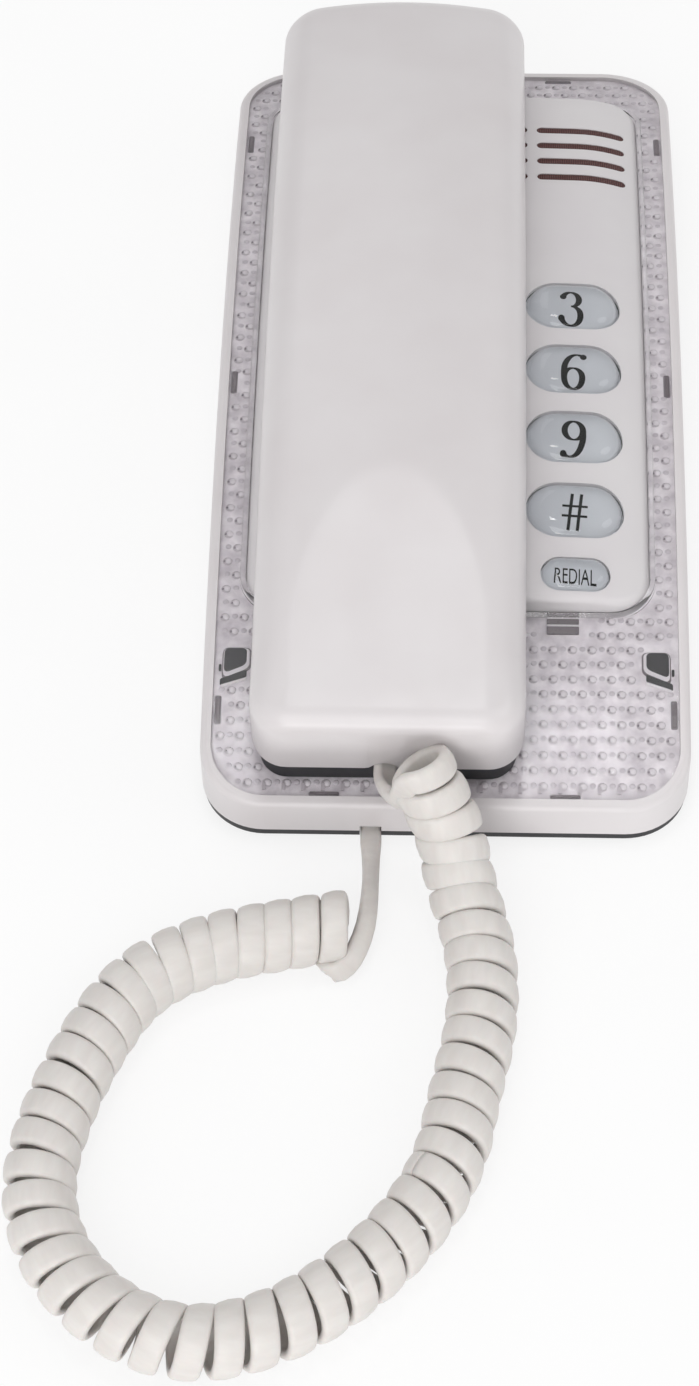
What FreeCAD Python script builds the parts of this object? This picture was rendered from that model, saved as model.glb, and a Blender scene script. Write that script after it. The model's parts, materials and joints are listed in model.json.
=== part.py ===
import FreeCAD
import Part
import math
import os

# Corded telephone lying on its feet. Millimetres, +Z up, low end towards -Y.
# The face of the base, the panel and the handset all bend about one axis
# along X. A "level" is a height above the rim, measured square to that bend.

# Base
BASE_WIDTH = 90.0
BASE_LENGTH = 190.0
CORNER_LOW = 12.0
CORNER_TOP = 14.0
RIM_TOP_Z = 22.0
ARCH_DROP = 11.935
HOUSING_Z = 2.4
WALL = 2.2
RIM_WIDTH = 2.0
RIM_ROUND = 1.2
PLATE_DROP = 0.2
PLATE_THICK = 2.1
PLATE_GAP = 0.15
DECK_THICK = 2.0

# Snap tabs of the clear plate and windows in the deck below it
TAB_LENGTH = 6.0
END_TAB_LENGTH = 5.0
TAB_THICK = 1.0
TAB_DEPTH = 2.8
TAB_INSET = 3.0
TAB_SLOT_GAP = 0.2
SIDE_TAB_TOP_INSET = 27.2
SIDE_TAB_LOW_INSET = 19.0
SIDE_TAB_MIDDLE_Y = -2.8
END_TAB_X = (-22.0, 22.0)
WINDOW_SIDE_INSET = 6.0
WINDOW_END_INSET = 27.3
WINDOW_WIDTH = 4.4
WINDOW_LENGTH = 7.6

# Keypad panel
PANEL_WIDTH = 75.6
PANEL_LOW_MARGIN = 37.0
PANEL_TOP_MARGIN = 14.5
PANEL_CORNER = 5.0
PANEL_RISE = 4.0
PANEL_THICK = 2.0
PANEL_WALL = 2.0
PANEL_ROUND = 1.6
PANEL_LEDGE = 2.2
PANEL_GAP = 0.25
CROWN_RADIUS = 235.0

# Keys
COLUMN_X = (-23.8, 0.0, 23.8)
FUNCTION_MARGIN = 7.7
FUNCTION_STEP = 14.1
ROW_STEPS = (17.0, 16.8, 16.6)
KEY_LENGTH = 18.0
KEY_WIDTH = 11.6
FUNCTION_LENGTH = 12.4
FUNCTION_WIDTH = 6.6
KEY_PROUD = 2.2
KEY_ROUND = 1.5
KEY_GAP = 0.4
KEY_TRAVEL = 1.5
FLANGE_LIP = 0.9
FLANGE_THICK = 1.2
FLANGE_GAP = 0.6
REST_GAP = 0.4

# Speaker slots in the panel
SLOT_GROUPS = ((-26.1, 18.0), (0.0, 30.4), (26.1, 18.0))
SLOT_TOP_MARGIN = 12.6
SLOT_PITCH = 5.2
SLOT_ROWS = 4
SLOT_WIDTH = 2.0

# Boards, key mat and what stands on the boards
BOARD_THICK = 1.6
KEY_BOARD_WIDTH = 69.0
KEY_BOARD_LOW_MARGIN = 4.7
KEY_BOARD_TOP_MARGIN = 6.8
KEY_BOARD_LEVEL = -6.0
MAT_THICK = 1.0
MAT_MARGIN = 1.5
PAD_INSET = 2.2
POST_RADIUS = 2.5
KEY_POST_SIDE_INSET = 4.5
KEY_POST_INSET = 7.0
LINE_BOARD_SIDE = 5.0
LINE_BOARD_RIGHT_X = 36.0
LINE_BOARD_LOW_RIM = 1.5
LINE_BOARD_TOP_RIM = 1.0
LINE_BOARD_Z = 4.4
LINE_POST_INSET = 6.0
RINGER_RADIUS = 12.0
RINGER_HEIGHT = 5.5
RINGER_X = 20.0
RINGER_SHIFT = 2.1
SWITCH_WIDTH = 8.0
SWITCH_LENGTH = 10.0
SWITCH_HEIGHT = 7.0
SWITCH_X = -20.0

# Hook plunger, drawn pressed down by the handset
HOOK_EAR_GAP = 10.0
HOOK_WIDTH = 8.0
HOOK_LENGTH = 10.0
HOOK_REST_GAP = 0.45
HOOK_HEIGHT = 10.8
HOOK_GAP = 0.35
HOOK_FLANGE_THICK = 1.2
HOOK_FLANGE_LIP = 1.4
HOOK_STEM_RADIUS = 2.6
HOOK_STEM_LENGTH = 5.3
SPRING_RADIUS = 3.8
SPRING_WIRE = 0.8
SPRING_TURNS = 5
SPRING_END_GAP = 0.1

# Bottom pan, feet, screws and wall-hanging keyholes
PAN_Z = 0.6
PAN_INSET = 0.3
PAN_LIP_GAP = 0.15
PAN_LIP_THICK = 1.2
PAN_LIP_HEIGHT = 2.2
FOOT_RADIUS = 5.0
FOOT_RECESS = 0.8
FOOT_SIDE_INSET = 12.0
FOOT_LOW_INSET = 33.0
FOOT_TOP_INSET = 35.0
SCREW_SIDE_INSET = 9.0
SCREW_LOW_INSET = 17.0
SCREW_TOP_INSET = 19.0
SCREW_RADIUS = 1.35
SCREW_TOP_Z = 7.6
SCREW_HEAD_RADIUS = 2.7
SCREW_HEAD_HEIGHT = 1.0
SCREW_CLEARANCE = 0.15
BOSS_RADIUS = 3.2
KEYHOLE_SPACING = 83.0
KEYHOLE_RADIUS = 4.25
KEYHOLE_SLOT_WIDTH = 4.2
KEYHOLE_SLOT_LENGTH = 9.0
KEYHOLE_ROOM = 1.2

# Sockets and plugs
LINE_JACK_Y = 32.0
LINE_JACK_WIDTH = 13.0
LINE_JACK_HEIGHT = 9.2
LINE_JACK_DEPTH = 13.6
LINE_MOUTH_WIDTH = 9.7
LINE_MOUTH_HEIGHT = 6.8
LINE_MOUTH_DEPTH = 11.0
CORD_JACK_WIDTH = 11.0
CORD_JACK_HEIGHT = 7.6
CORD_JACK_LENGTH = 13.0
PLUG_WIDTH = 7.5
PLUG_HEIGHT = 5.2
PLUG_LENGTH = 11.6
PLUG_GAP = 0.2
PLUG_SEAT = 2.0
BASE_JACK_X = -13.5
BASE_JACK_INSET = 23.0
CORD_NOTCH_WIDTH = 10.0
CORD_NOTCH_GAP = 0.6
CORD_MOUTH_DEPTH = 5.0
WALL_NOTCH_WIDTH = 4.0
WALL_NOTCH_Z = 3.8

# Handset
HANDSET_X = -10.4
HANDSET_WIDTH = 49.6
HANDSET_LOW_INSET = 4.2
HANDSET_TOP_INSET = 3.0
HANDSET_CORNER_LOW = 6.5
HANDSET_CORNER_TOP = 7.5
HANDSET_LEVEL = 24.0
HANDSET_CROWN = 90.0
HANDSET_ROUND = 6.0
HANDSET_WALL = 2.4
HANDSET_SKIN = 3.4
PART_LEVEL = 5.0
FACET_LENGTH = 48.8
FACET_LOW_DEPTH = 1.9
FRONT_INSET = 1.3
FRONT_FLOOR = 2.0
FRONT_TOP_LEVEL = 9.2
FRONT_POCKET_WALL = 2.0
MOUTH_PANEL_GAP = 2.0
EAR_LENGTH = 46.0
MOUTH_LEVEL = 0.1
MIDDLE_LEVEL = 7.2
EAR_LEVEL = 4.35
EAR_INSET = 24.0
EAR_RADIUS = 14.0
EAR_HEIGHT = 7.0
EAR_HOLE_RADIUS = 1.0
EAR_HOLE_CIRCLE = 5.0
EAR_HOLE_COUNT = 6
MIC_X = 3.5
MIC_INSET = 14.8
MIC_RADIUS = 4.9
MIC_HEIGHT = 5.0
MIC_HOLE_RADIUS = 0.8
WEIGHT_WIDTH = 24.0
WEIGHT_LENGTH = 56.0
WEIGHT_HEIGHT = 5.0
WEIGHT_Y = -4.0
HANDSET_SCREW_INSET = 8.0
HANDSET_SCREW_TOP = 15.0
HANDSET_JACK_INSET = 20.3
HANDSET_JACK_TILT = 9.0
HANDSET_JACK_LIFT = 0.05
LEAD_LENGTH = 11.6
LEAD_SLOT_WIDTH = 4.6
LEAD_SLOT_GAP = 0.35

# Curly cord: wire, coil and the path of the coil's own axis
WIRE = 3.3
COIL_RADIUS = 4.6
COIL_TURNS = 46.75
COIL_START_ANGLE = 130.0
SPLIT_GAP = 0.35
COIL_ROUTE = (
    (-2.6, -97.6, 24.4),
    (0.7, -101.5, 16.8),
    (2.8, -109.6, 8.8),
    (7.1, -123.4, 6.6),
    (7.3, -138.2, 6.6),
    (4.2, -152.3, 6.6),
    (1.8, -166.5, 6.6),
    (-5.3, -179.0, 6.6),
    (-15.1, -189.5, 6.6),
    (-27.1, -197.7, 6.6),
    (-41.5, -201.2, 6.6),
    (-54.6, -196.3, 6.6),
    (-65.1, -185.0, 6.6),
    (-68.8, -171.6, 6.6),
    (-66.3, -157.4, 6.6),
    (-61.3, -143.6, 6.6),
    (-54.1, -130.6, 6.6),
    (-42.0, -123.6, 6.6),
    (-29.7, -120.7, 6.6),
    (-21.0, -119.0, 6.6),
)
LEAD_Z = 1.8
LEAD_START = (-11.2, -114.0)
LEAD_CORNER_Y = -97.0
LEAD_BEND = 17.0
JOIN_START_PULL = (26.0, 22.0)
JOIN_END_PULL = (18.0, 40.0)
JOIN_STEPS = 6

HALF_WIDTH = BASE_WIDTH / 2
HALF_LENGTH = BASE_LENGTH / 2
ARCH_RADIUS = (HALF_LENGTH ** 2 + ARCH_DROP ** 2) / (2 * ARCH_DROP)
AXIS_Z = RIM_TOP_Z - ARCH_RADIUS
SIDE_TAB_Y = (HALF_LENGTH - SIDE_TAB_TOP_INSET, SIDE_TAB_MIDDLE_Y, SIDE_TAB_LOW_INSET - HALF_LENGTH)
WINDOW_X = HALF_WIDTH - WINDOW_SIDE_INSET
WINDOW_Y = WINDOW_END_INSET - HALF_LENGTH
PANEL_LOW_Y = PANEL_LOW_MARGIN - HALF_LENGTH
PANEL_TOP_Y = HALF_LENGTH - PANEL_TOP_MARGIN
FUNCTION_Y = PANEL_LOW_Y + FUNCTION_MARGIN
LOW_ROW_Y = FUNCTION_Y + FUNCTION_STEP
ROW_Y = [LOW_ROW_Y + sum(ROW_STEPS[:n]) for n in (3, 2, 1, 0)]
SLOT_ROW_Y = [PANEL_TOP_Y - SLOT_TOP_MARGIN - n * SLOT_PITCH for n in range(SLOT_ROWS)]
KEY_BOARD_ENDS = (FUNCTION_Y - KEY_BOARD_LOW_MARGIN, ROW_Y[0] + KEY_BOARD_TOP_MARGIN)
KEY_BOARD_Y = (KEY_BOARD_ENDS[0] + KEY_BOARD_ENDS[1]) / 2
KEY_BOARD_LENGTH = KEY_BOARD_ENDS[1] - KEY_BOARD_ENDS[0]
KEY_POST_X = KEY_BOARD_WIDTH / 2 - KEY_POST_SIDE_INSET
KEY_POST_Y = (KEY_BOARD_ENDS[0] + KEY_POST_INSET, KEY_BOARD_ENDS[1] - KEY_POST_INSET)
HANDSET_LOW_Y = HANDSET_LOW_INSET - HALF_LENGTH
HANDSET_TOP_Y = HALF_LENGTH - HANDSET_TOP_INSET
FACET_APEX_Y = HANDSET_LOW_Y + FACET_LENGTH
MOUTH_END_Y = PANEL_LOW_Y - MOUTH_PANEL_GAP
EAR_START_Y = HANDSET_TOP_Y - EAR_LENGTH
EAR_Y = HANDSET_TOP_Y - EAR_INSET
MIC_Y = HANDSET_LOW_Y + MIC_INSET
HANDSET_SCREW_Y = (MOUTH_END_Y + HANDSET_SCREW_INSET, EAR_START_Y - HANDSET_SCREW_INSET)
HANDSET_JACK_Y = HANDSET_LOW_Y + HANDSET_JACK_INSET
HOOK_Y = EAR_START_Y - HOOK_EAR_GAP
RINGER_Y = (SLOT_ROW_Y[0] + SLOT_ROW_Y[-1]) / 2 - RINGER_SHIFT
LINE_BOARD_Y = (LINE_JACK_Y - LINE_JACK_WIDTH / 2 - LINE_BOARD_LOW_RIM,
                RINGER_Y + RINGER_RADIUS + LINE_BOARD_TOP_RIM)
BASE_JACK_Y = BASE_JACK_INSET - HALF_LENGTH
CORD_NOTCH_END_Y = BASE_JACK_Y - CORD_NOTCH_GAP
LINE_BOARD_X = (LINE_BOARD_SIDE - HALF_WIDTH, LINE_BOARD_RIGHT_X)
LINE_POST_X = (LINE_BOARD_X[0] + LINE_POST_INSET, LINE_BOARD_X[1] - LINE_POST_INSET)
LINE_POST_Y = (LINE_BOARD_Y[0] + LINE_POST_INSET, LINE_BOARD_Y[1] - LINE_POST_INSET)
FOOT_X = HALF_WIDTH - FOOT_SIDE_INSET
FOOT_Y = (FOOT_LOW_INSET - HALF_LENGTH, HALF_LENGTH - FOOT_TOP_INSET)
SCREW_X = HALF_WIDTH - SCREW_SIDE_INSET
SCREW_Y = (SCREW_LOW_INSET - HALF_LENGTH, HALF_LENGTH - SCREW_TOP_INSET)
DECK_TOP = -(PLATE_DROP + PLATE_THICK)
DECK_BOTTOM = DECK_TOP - DECK_THICK
PAN_FLOOR_Z = HOUSING_Z
LINE_BOARD_TOP = LINE_BOARD_Z + BOARD_THICK
KEY_TOP = PANEL_RISE + KEY_PROUD
FLANGE_TOP = PANEL_RISE - PANEL_THICK - FLANGE_GAP
FLANGE_BOTTOM = FLANGE_TOP - FLANGE_THICK
PAD_TOP = FLANGE_BOTTOM - KEY_TRAVEL - REST_GAP
TALL = 70.0
UP = FreeCAD.Vector(0, 0, 1)
ALONG_X = FreeCAD.Vector(1, 0, 0)
ALONG_Y = FreeCAD.Vector(0, 1, 0)


def vec(x, y, z):
    """Return a point or direction."""
    return FreeCAD.Vector(x, y, z)


def arch_z(y, level):
    """Return the height of a level at a distance along the base."""
    return AXIS_Z + math.sqrt((ARCH_RADIUS + level) ** 2 - y * y)


HOOK_TOP_Z = arch_z(HOOK_Y + HOOK_LENGTH / 2, MIDDLE_LEVEL) - HOOK_REST_GAP
HOOK_FLANGE_Z = HOOK_TOP_Z - HOOK_HEIGHT
HOOK_STEM_Z = HOOK_FLANGE_Z - HOOK_STEM_LENGTH


def box(x0, x1, y0, y1, z0, z1):
    """Return a block between two corners."""
    return Part.makeBox(x1 - x0, y1 - y0, z1 - z0, vec(x0, y0, z0))


def rounded(x0, x1, y0, y1, r_low, r_top):
    """Return a flat rectangle with its own corner radius at each end."""
    def corner(cx, cy, r, start):
        half = r * math.sqrt(0.5)
        a = math.radians(start)
        b = math.radians(start + 90)
        sx = 1 if 0 <= start < 90 or start >= 270 else -1
        sy = 1 if start < 180 else -1
        return Part.Arc(
            vec(cx + r * math.cos(a), cy + r * math.sin(a), 0),
            vec(cx + sx * half, cy + sy * half, 0),
            vec(cx + r * math.cos(b), cy + r * math.sin(b), 0),
        ).toShape()

    edges = [
        Part.makeLine(vec(x0 + r_low, y0, 0), vec(x1 - r_low, y0, 0)),
        corner(x1 - r_low, y0 + r_low, r_low, 270),
        Part.makeLine(vec(x1, y0 + r_low, 0), vec(x1, y1 - r_top, 0)),
        corner(x1 - r_top, y1 - r_top, r_top, 0),
        Part.makeLine(vec(x1 - r_top, y1, 0), vec(x0 + r_top, y1, 0)),
        corner(x0 + r_top, y1 - r_top, r_top, 90),
        Part.makeLine(vec(x0, y1 - r_top, 0), vec(x0, y0 + r_low, 0)),
        corner(x0 + r_low, y0 + r_low, r_low, 180),
    ]
    return Part.Face(Part.Wire(edges))


def prism(face, z0, z1):
    """Return a face of the XY plane pulled up between two heights."""
    solid = face.extrude(vec(0, 0, z1 - z0))
    solid.translate(vec(0, 0, z0))
    return solid


def base_outline(inset):
    """Return the base's outline, moved in by an inset."""
    x = HALF_WIDTH - inset
    y = HALF_LENGTH - inset
    return rounded(-x, x, -y, y, CORNER_LOW - inset, CORNER_TOP - inset)


def panel_outline(inset):
    """Return the keypad panel's outline, moved in by an inset."""
    x = PANEL_WIDTH / 2 - inset
    corner = PANEL_CORNER - inset
    return rounded(-x, x, PANEL_LOW_Y + inset, PANEL_TOP_Y - inset, corner, corner)


def handset_outline(inset):
    """Return the handset's outline, moved in by an inset."""
    x = HANDSET_WIDTH / 2 - inset
    return rounded(
        HANDSET_X - x, HANDSET_X + x, HANDSET_LOW_Y + inset, HANDSET_TOP_Y - inset,
        HANDSET_CORNER_LOW - inset, HANDSET_CORNER_TOP - inset,
    )


def under_arch(level):
    """Return everything below a level of the bend, as one thick slab."""
    reach = HALF_LENGTH + 20
    half = HALF_WIDTH + 10
    end_z = arch_z(reach, level)
    floor_z = -40.0
    edges = [
        Part.makeLine(vec(-half, -reach, floor_z), vec(-half, reach, floor_z)),
        Part.makeLine(vec(-half, reach, floor_z), vec(-half, reach, end_z)),
        Part.Arc(
            vec(-half, reach, end_z), vec(-half, 0, arch_z(0, level)), vec(-half, -reach, end_z),
        ).toShape(),
        Part.makeLine(vec(-half, -reach, end_z), vec(-half, -reach, floor_z)),
    ]
    return Part.Face(Part.Wire(edges)).extrude(vec(2 * half, 0, 0))


def below(shape, level):
    """Keep what lies under a level."""
    return shape.common(under_arch(level))


def above(shape, level):
    """Keep what lies over a level."""
    return shape.cut(under_arch(level))


def band(face, low, high):
    """Return an outline's prism between two levels."""
    return above(below(prism(face, -5, TALL), high), low)


def under_crown(x, rise, radius, offset):
    """Return what lies under a surface bent along and across the base.

    The cross-section is an arc whose top stands at a level, and it turns
    about the same axis as the rim.
    """
    half = HALF_WIDTH + 5
    if radius < half * 1.5:
        half = radius / 1.5
    centre = RIM_TOP_Z + rise - radius
    r = radius + offset
    side = centre + math.sqrt(r * r - half * half)
    low = min(side - 10.0, RIM_TOP_Z - 20)
    edges = [
        Part.Arc(vec(x - half, 0, side), vec(x, 0, centre + r), vec(x + half, 0, side)).toShape(),
        Part.makeLine(vec(x + half, 0, side), vec(x + half, 0, low)),
        Part.makeLine(vec(x + half, 0, low), vec(x - half, 0, low)),
        Part.makeLine(vec(x - half, 0, low), vec(x - half, 0, side)),
    ]
    face = Part.Face(Part.Wire(edges))
    sweep = 34.0
    axis_point = vec(0, 0, AXIS_Z)
    face.rotate(axis_point, ALONG_X, -sweep / 2)
    return face.revolve(axis_point, ALONG_X, sweep)


def round_top(solid, radius, square_to):
    """Round the border of the face that looks most nearly up."""
    best = max(solid.Faces, key=lambda f: f.CenterOfMass.z if f.Area > square_to else -1e9)
    return solid.makeFillet(radius, best.OuterWire.Edges)


def row_angle(y, level):
    """Return the turn about the bend's axis that brings a piece to a distance y."""
    return math.degrees(math.asin(y / (ARCH_RADIUS + level)))


def turned(shape, y, level):
    """Return a piece drawn at the middle of the base, moved along the bend."""
    moved = shape.copy()
    moved.rotate(vec(0, 0, AXIS_Z), ALONG_X, -row_angle(y, level))
    return moved


def key_seat(shape, x, y):
    """Return a piece drawn at the panel's middle, moved to a key's place."""
    moved = shape.copy()
    angle = math.degrees(math.asin(x / CROWN_RADIUS))
    moved.rotate(vec(0, 0, RIM_TOP_Z + PANEL_RISE - CROWN_RADIUS), ALONG_Y, angle)
    return turned(moved, y, PANEL_RISE)


def pill(length, width, low, high):
    """Return an upright block with round ends between two levels."""
    straight = length / 2
    half = width / 2
    face = rounded(-straight, straight, -half, half, half * 0.98, half * 0.98)
    return prism(face, RIM_TOP_Z + low, RIM_TOP_Z + high)


def rod(x, y, radius, z0, z1):
    """Return an upright round rod."""
    return Part.makeCylinder(radius, z1 - z0, vec(x, y, z0), UP)


def fused(shapes):
    """Return shapes joined into one, without the seams between them."""
    first = shapes[0]
    return first.fuse(shapes[1:]).removeSplitter()


def key_places():
    """Return each key's name, place and outline size."""
    names = (("1", "2", "3"), ("4", "5", "6"), ("7", "8", "9"), ("star", "0", "hash"))
    places = []
    for row, y in zip(names, ROW_Y):
        for name, x in zip(row, COLUMN_X):
            places.append(("key_" + name, x, y, KEY_LENGTH, KEY_WIDTH))
    for name, x in zip(("mute", "flash", "redial"), COLUMN_X):
        places.append(("key_" + name, x, FUNCTION_Y, FUNCTION_LENGTH, FUNCTION_WIDTH))
    return places


def tab_places():
    """Return the middle of each snap tab and whether it runs along Y."""
    side = HALF_WIDTH - TAB_INSET
    end = HALF_LENGTH - TAB_INSET
    places = [(s * side, y, True) for s in (-1, 1) for y in SIDE_TAB_Y]
    places += [(x, s * end, False) for s in (-1, 1) for x in END_TAB_X]
    return places


def tab_block(x, y, lengthwise, gap, low, high):
    """Return a snap tab or, with a gap, its slot."""
    half_x = (TAB_THICK if lengthwise else END_TAB_LENGTH) / 2 + gap
    half_y = (TAB_LENGTH if lengthwise else TAB_THICK) / 2 + gap
    z = arch_z(y, 0)
    return box(x - half_x, x + half_x, y - half_y, y + half_y, z + low, z + high)


def base_housing():
    """White shell: side walls, arched rim and the deck under the clear plate."""
    outer = below(prism(base_outline(0), HOUSING_Z, TALL), 0)
    outer = round_top(outer, RIM_ROUND, HALF_WIDTH * BASE_LENGTH)
    cavity = below(prism(base_outline(WALL), HOUSING_Z - 1, TALL), DECK_BOTTOM)
    recess = above(prism(base_outline(RIM_WIDTH), HOUSING_Z, TALL), DECK_TOP)
    shell = outer.cut([cavity, recess, prism(panel_outline(PANEL_LEDGE), HOUSING_Z, TALL)])
    bosses = []
    for x in (-SCREW_X, SCREW_X):
        for y in SCREW_Y:
            bosses.append(below(rod(x, y, BOSS_RADIUS, HOUSING_Z, TALL), DECK_BOTTOM + 0.5))
    shell = fused([shell] + bosses)
    cuts = [tab_block(x, y, way, TAB_SLOT_GAP, -6.0, -1.0) for x, y, way in tab_places()]
    for s in (-1, 1):
        z = arch_z(WINDOW_Y, 0)
        cuts.append(box(
            s * WINDOW_X - WINDOW_WIDTH / 2, s * WINDOW_X + WINDOW_WIDTH / 2,
            WINDOW_Y - WINDOW_LENGTH / 2, WINDOW_Y + WINDOW_LENGTH / 2, z - 7, z,
        ))
        for y in SCREW_Y:
            cuts.append(rod(s * SCREW_X, y, SCREW_RADIUS, HOUSING_Z - 1, SCREW_TOP_Z))
    low = -HALF_LENGTH
    cuts.append(box(
        BASE_JACK_X - WALL_NOTCH_WIDTH / 2, BASE_JACK_X + WALL_NOTCH_WIDTH / 2,
        low - 1, low + WALL + 0.5, HOUSING_Z - 1, WALL_NOTCH_Z,
    ))
    mouth_z = LINE_BOARD_TOP + LINE_JACK_HEIGHT / 2
    cuts.append(box(
        -HALF_WIDTH - 1, -HALF_WIDTH + WALL + 0.5,
        LINE_JACK_Y - LINE_MOUTH_WIDTH / 2, LINE_JACK_Y + LINE_MOUTH_WIDTH / 2,
        mouth_z - LINE_MOUTH_HEIGHT / 2, mouth_z + LINE_MOUTH_HEIGHT / 2,
    ))
    return shell.cut(cuts)


def clear_plate():
    """Transparent cover lying on the deck, with its snap tabs."""
    plate = band(base_outline(RIM_WIDTH + PLATE_GAP), DECK_TOP, -PLATE_DROP)
    plate = plate.cut(prism(panel_outline(-PANEL_GAP), 0, TALL))
    tabs = [tab_block(x, y, way, 0, -TAB_DEPTH - PLATE_THICK, -1.2) for x, y, way in tab_places()]
    return fused([plate] + tabs)


def keypad_panel():
    """White raised panel, crowned across and bent along."""
    solid = prism(panel_outline(0), 0, TALL)
    solid = solid.common(under_crown(0, PANEL_RISE, CROWN_RADIUS, 0))
    solid = round_top(above(solid, DECK_TOP), PANEL_ROUND, PANEL_WIDTH * 60)
    hollow = prism(panel_outline(PANEL_WALL), 0, TALL)
    hollow = hollow.common(under_crown(0, PANEL_RISE, CROWN_RADIUS, -PANEL_THICK))
    cuts = [hollow]
    for _, x, y, length, width in key_places():
        hole = pill(length + 2 * KEY_GAP, width + 2 * KEY_GAP, -6, KEY_TOP)
        cuts.append(key_seat(hole, x, y))
    for x, length in SLOT_GROUPS:
        slot = pill(length, SLOT_WIDTH, -6, KEY_TOP)
        for y in SLOT_ROW_Y:
            cuts.append(key_seat(slot, x, y))
    cuts.append(box(
        HANDSET_X - HOOK_WIDTH / 2 - HOOK_GAP, HANDSET_X + HOOK_WIDTH / 2 + HOOK_GAP,
        HOOK_Y - HOOK_LENGTH / 2 - HOOK_GAP, HOOK_Y + HOOK_LENGTH / 2 + HOOK_GAP, 10, TALL,
    ))
    return solid.cut(cuts)


def key_cap(length, width):
    """Clear key with a rounded top and a holding flange, drawn at the middle."""
    cap = pill(length, width, FLANGE_BOTTOM, KEY_TOP)
    top = max(cap.Faces, key=lambda f: f.CenterOfMass.z)
    cap = cap.makeFillet(KEY_ROUND, top.OuterWire.Edges)
    lip = 2 * FLANGE_LIP
    flange = pill(length + lip, width + lip, FLANGE_BOTTOM, FLANGE_TOP)
    return fused([cap, flange])


def key_board_block(margin, low, high):
    """Return a flat block on the keypad board's plane, between two levels."""
    x = KEY_BOARD_WIDTH / 2 - margin
    y = KEY_BOARD_LENGTH / 2 - margin
    block = box(-x, x, -y, y, RIM_TOP_Z + low, RIM_TOP_Z + high)
    return turned(block, KEY_BOARD_Y, 0)


def keypad_board():
    """Flat board under the keys."""
    return key_board_block(0, KEY_BOARD_LEVEL - BOARD_THICK, KEY_BOARD_LEVEL)


def key_mat():
    """Rubber mat on the board with a pad under every key."""
    pieces = [key_board_block(MAT_MARGIN, KEY_BOARD_LEVEL, KEY_BOARD_LEVEL + MAT_THICK)]
    room = key_board_block(0, KEY_BOARD_LEVEL, KEY_BOARD_LEVEL + 12)
    for _, x, y, length, width in key_places():
        pad = pill(length - 2 * PAD_INSET, width - 2 * PAD_INSET, KEY_BOARD_LEVEL - 4, PAD_TOP)
        pieces.append(key_seat(pad, x, y).common(room))
    return fused(pieces)


def line_board():
    """Flat board for the line, hook and ringer parts, open over the keyhole."""
    x0, x1 = LINE_BOARD_X
    y0, y1 = LINE_BOARD_Y
    board = box(x0, x1, y0, y1, LINE_BOARD_Z, LINE_BOARD_TOP)
    half = KEYHOLE_RADIUS + KEYHOLE_ROOM
    keyhole_y = KEYHOLE_SPACING / 2
    return board.cut(box(
        -half, half, keyhole_y - half, keyhole_y + KEYHOLE_SLOT_LENGTH + KEYHOLE_ROOM,
        LINE_BOARD_Z - 1, LINE_BOARD_TOP + 1,
    ))


def ringer():
    """Round sounder behind the slots."""
    case = rod(RINGER_X, RINGER_Y, RINGER_RADIUS, LINE_BOARD_TOP, LINE_BOARD_TOP + RINGER_HEIGHT)
    hole = rod(RINGER_X, RINGER_Y, RINGER_RADIUS / 4,
               LINE_BOARD_TOP + RINGER_HEIGHT - 2, LINE_BOARD_TOP + RINGER_HEIGHT + 1)
    return case.cut(hole)


def hook_plunger():
    """Button that the handset holds down, with a flange and a stem."""
    half_x = HOOK_WIDTH / 2
    half_y = HOOK_LENGTH / 2
    body = box(HANDSET_X - half_x, HANDSET_X + half_x, HOOK_Y - half_y, HOOK_Y + half_y,
               HOOK_FLANGE_Z, HOOK_TOP_Z)
    top = max(body.Faces, key=lambda f: f.CenterOfMass.z)
    body = body.makeFillet(1.0, top.OuterWire.Edges)
    lip = HOOK_FLANGE_LIP
    flange = box(HANDSET_X - half_x - lip, HANDSET_X + half_x + lip,
                 HOOK_Y - half_y - lip, HOOK_Y + half_y + lip,
                 HOOK_FLANGE_Z, HOOK_FLANGE_Z + HOOK_FLANGE_THICK)
    stem = rod(HANDSET_X, HOOK_Y, HOOK_STEM_RADIUS, HOOK_STEM_Z, HOOK_FLANGE_Z)
    return fused([body, flange, stem])


def hook_switch():
    """Switch beside the plunger's stem."""
    return box(SWITCH_X - SWITCH_WIDTH / 2, SWITCH_X + SWITCH_WIDTH / 2,
               HOOK_Y - SWITCH_LENGTH / 2, HOOK_Y + SWITCH_LENGTH / 2,
               LINE_BOARD_TOP, LINE_BOARD_TOP + SWITCH_HEIGHT)


def below_key_board(shape):
    """Keep what lies under the keypad board."""
    room = box(-60, 60, -120, 120, -60, RIM_TOP_Z + KEY_BOARD_LEVEL - BOARD_THICK)
    return shape.common(turned(room, KEY_BOARD_Y, 0))


def keyhole(y):
    """Return the opening of one keyhole, its slot running to the top end."""
    head = rod(0, y, KEYHOLE_RADIUS, PAN_Z - 1, PAN_FLOOR_Z + 1)
    half = KEYHOLE_SLOT_WIDTH / 2
    slot = box(-half, half, y, y + KEYHOLE_SLOT_LENGTH, PAN_Z - 1, PAN_FLOOR_Z + 1)
    return head.fuse(slot)


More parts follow.
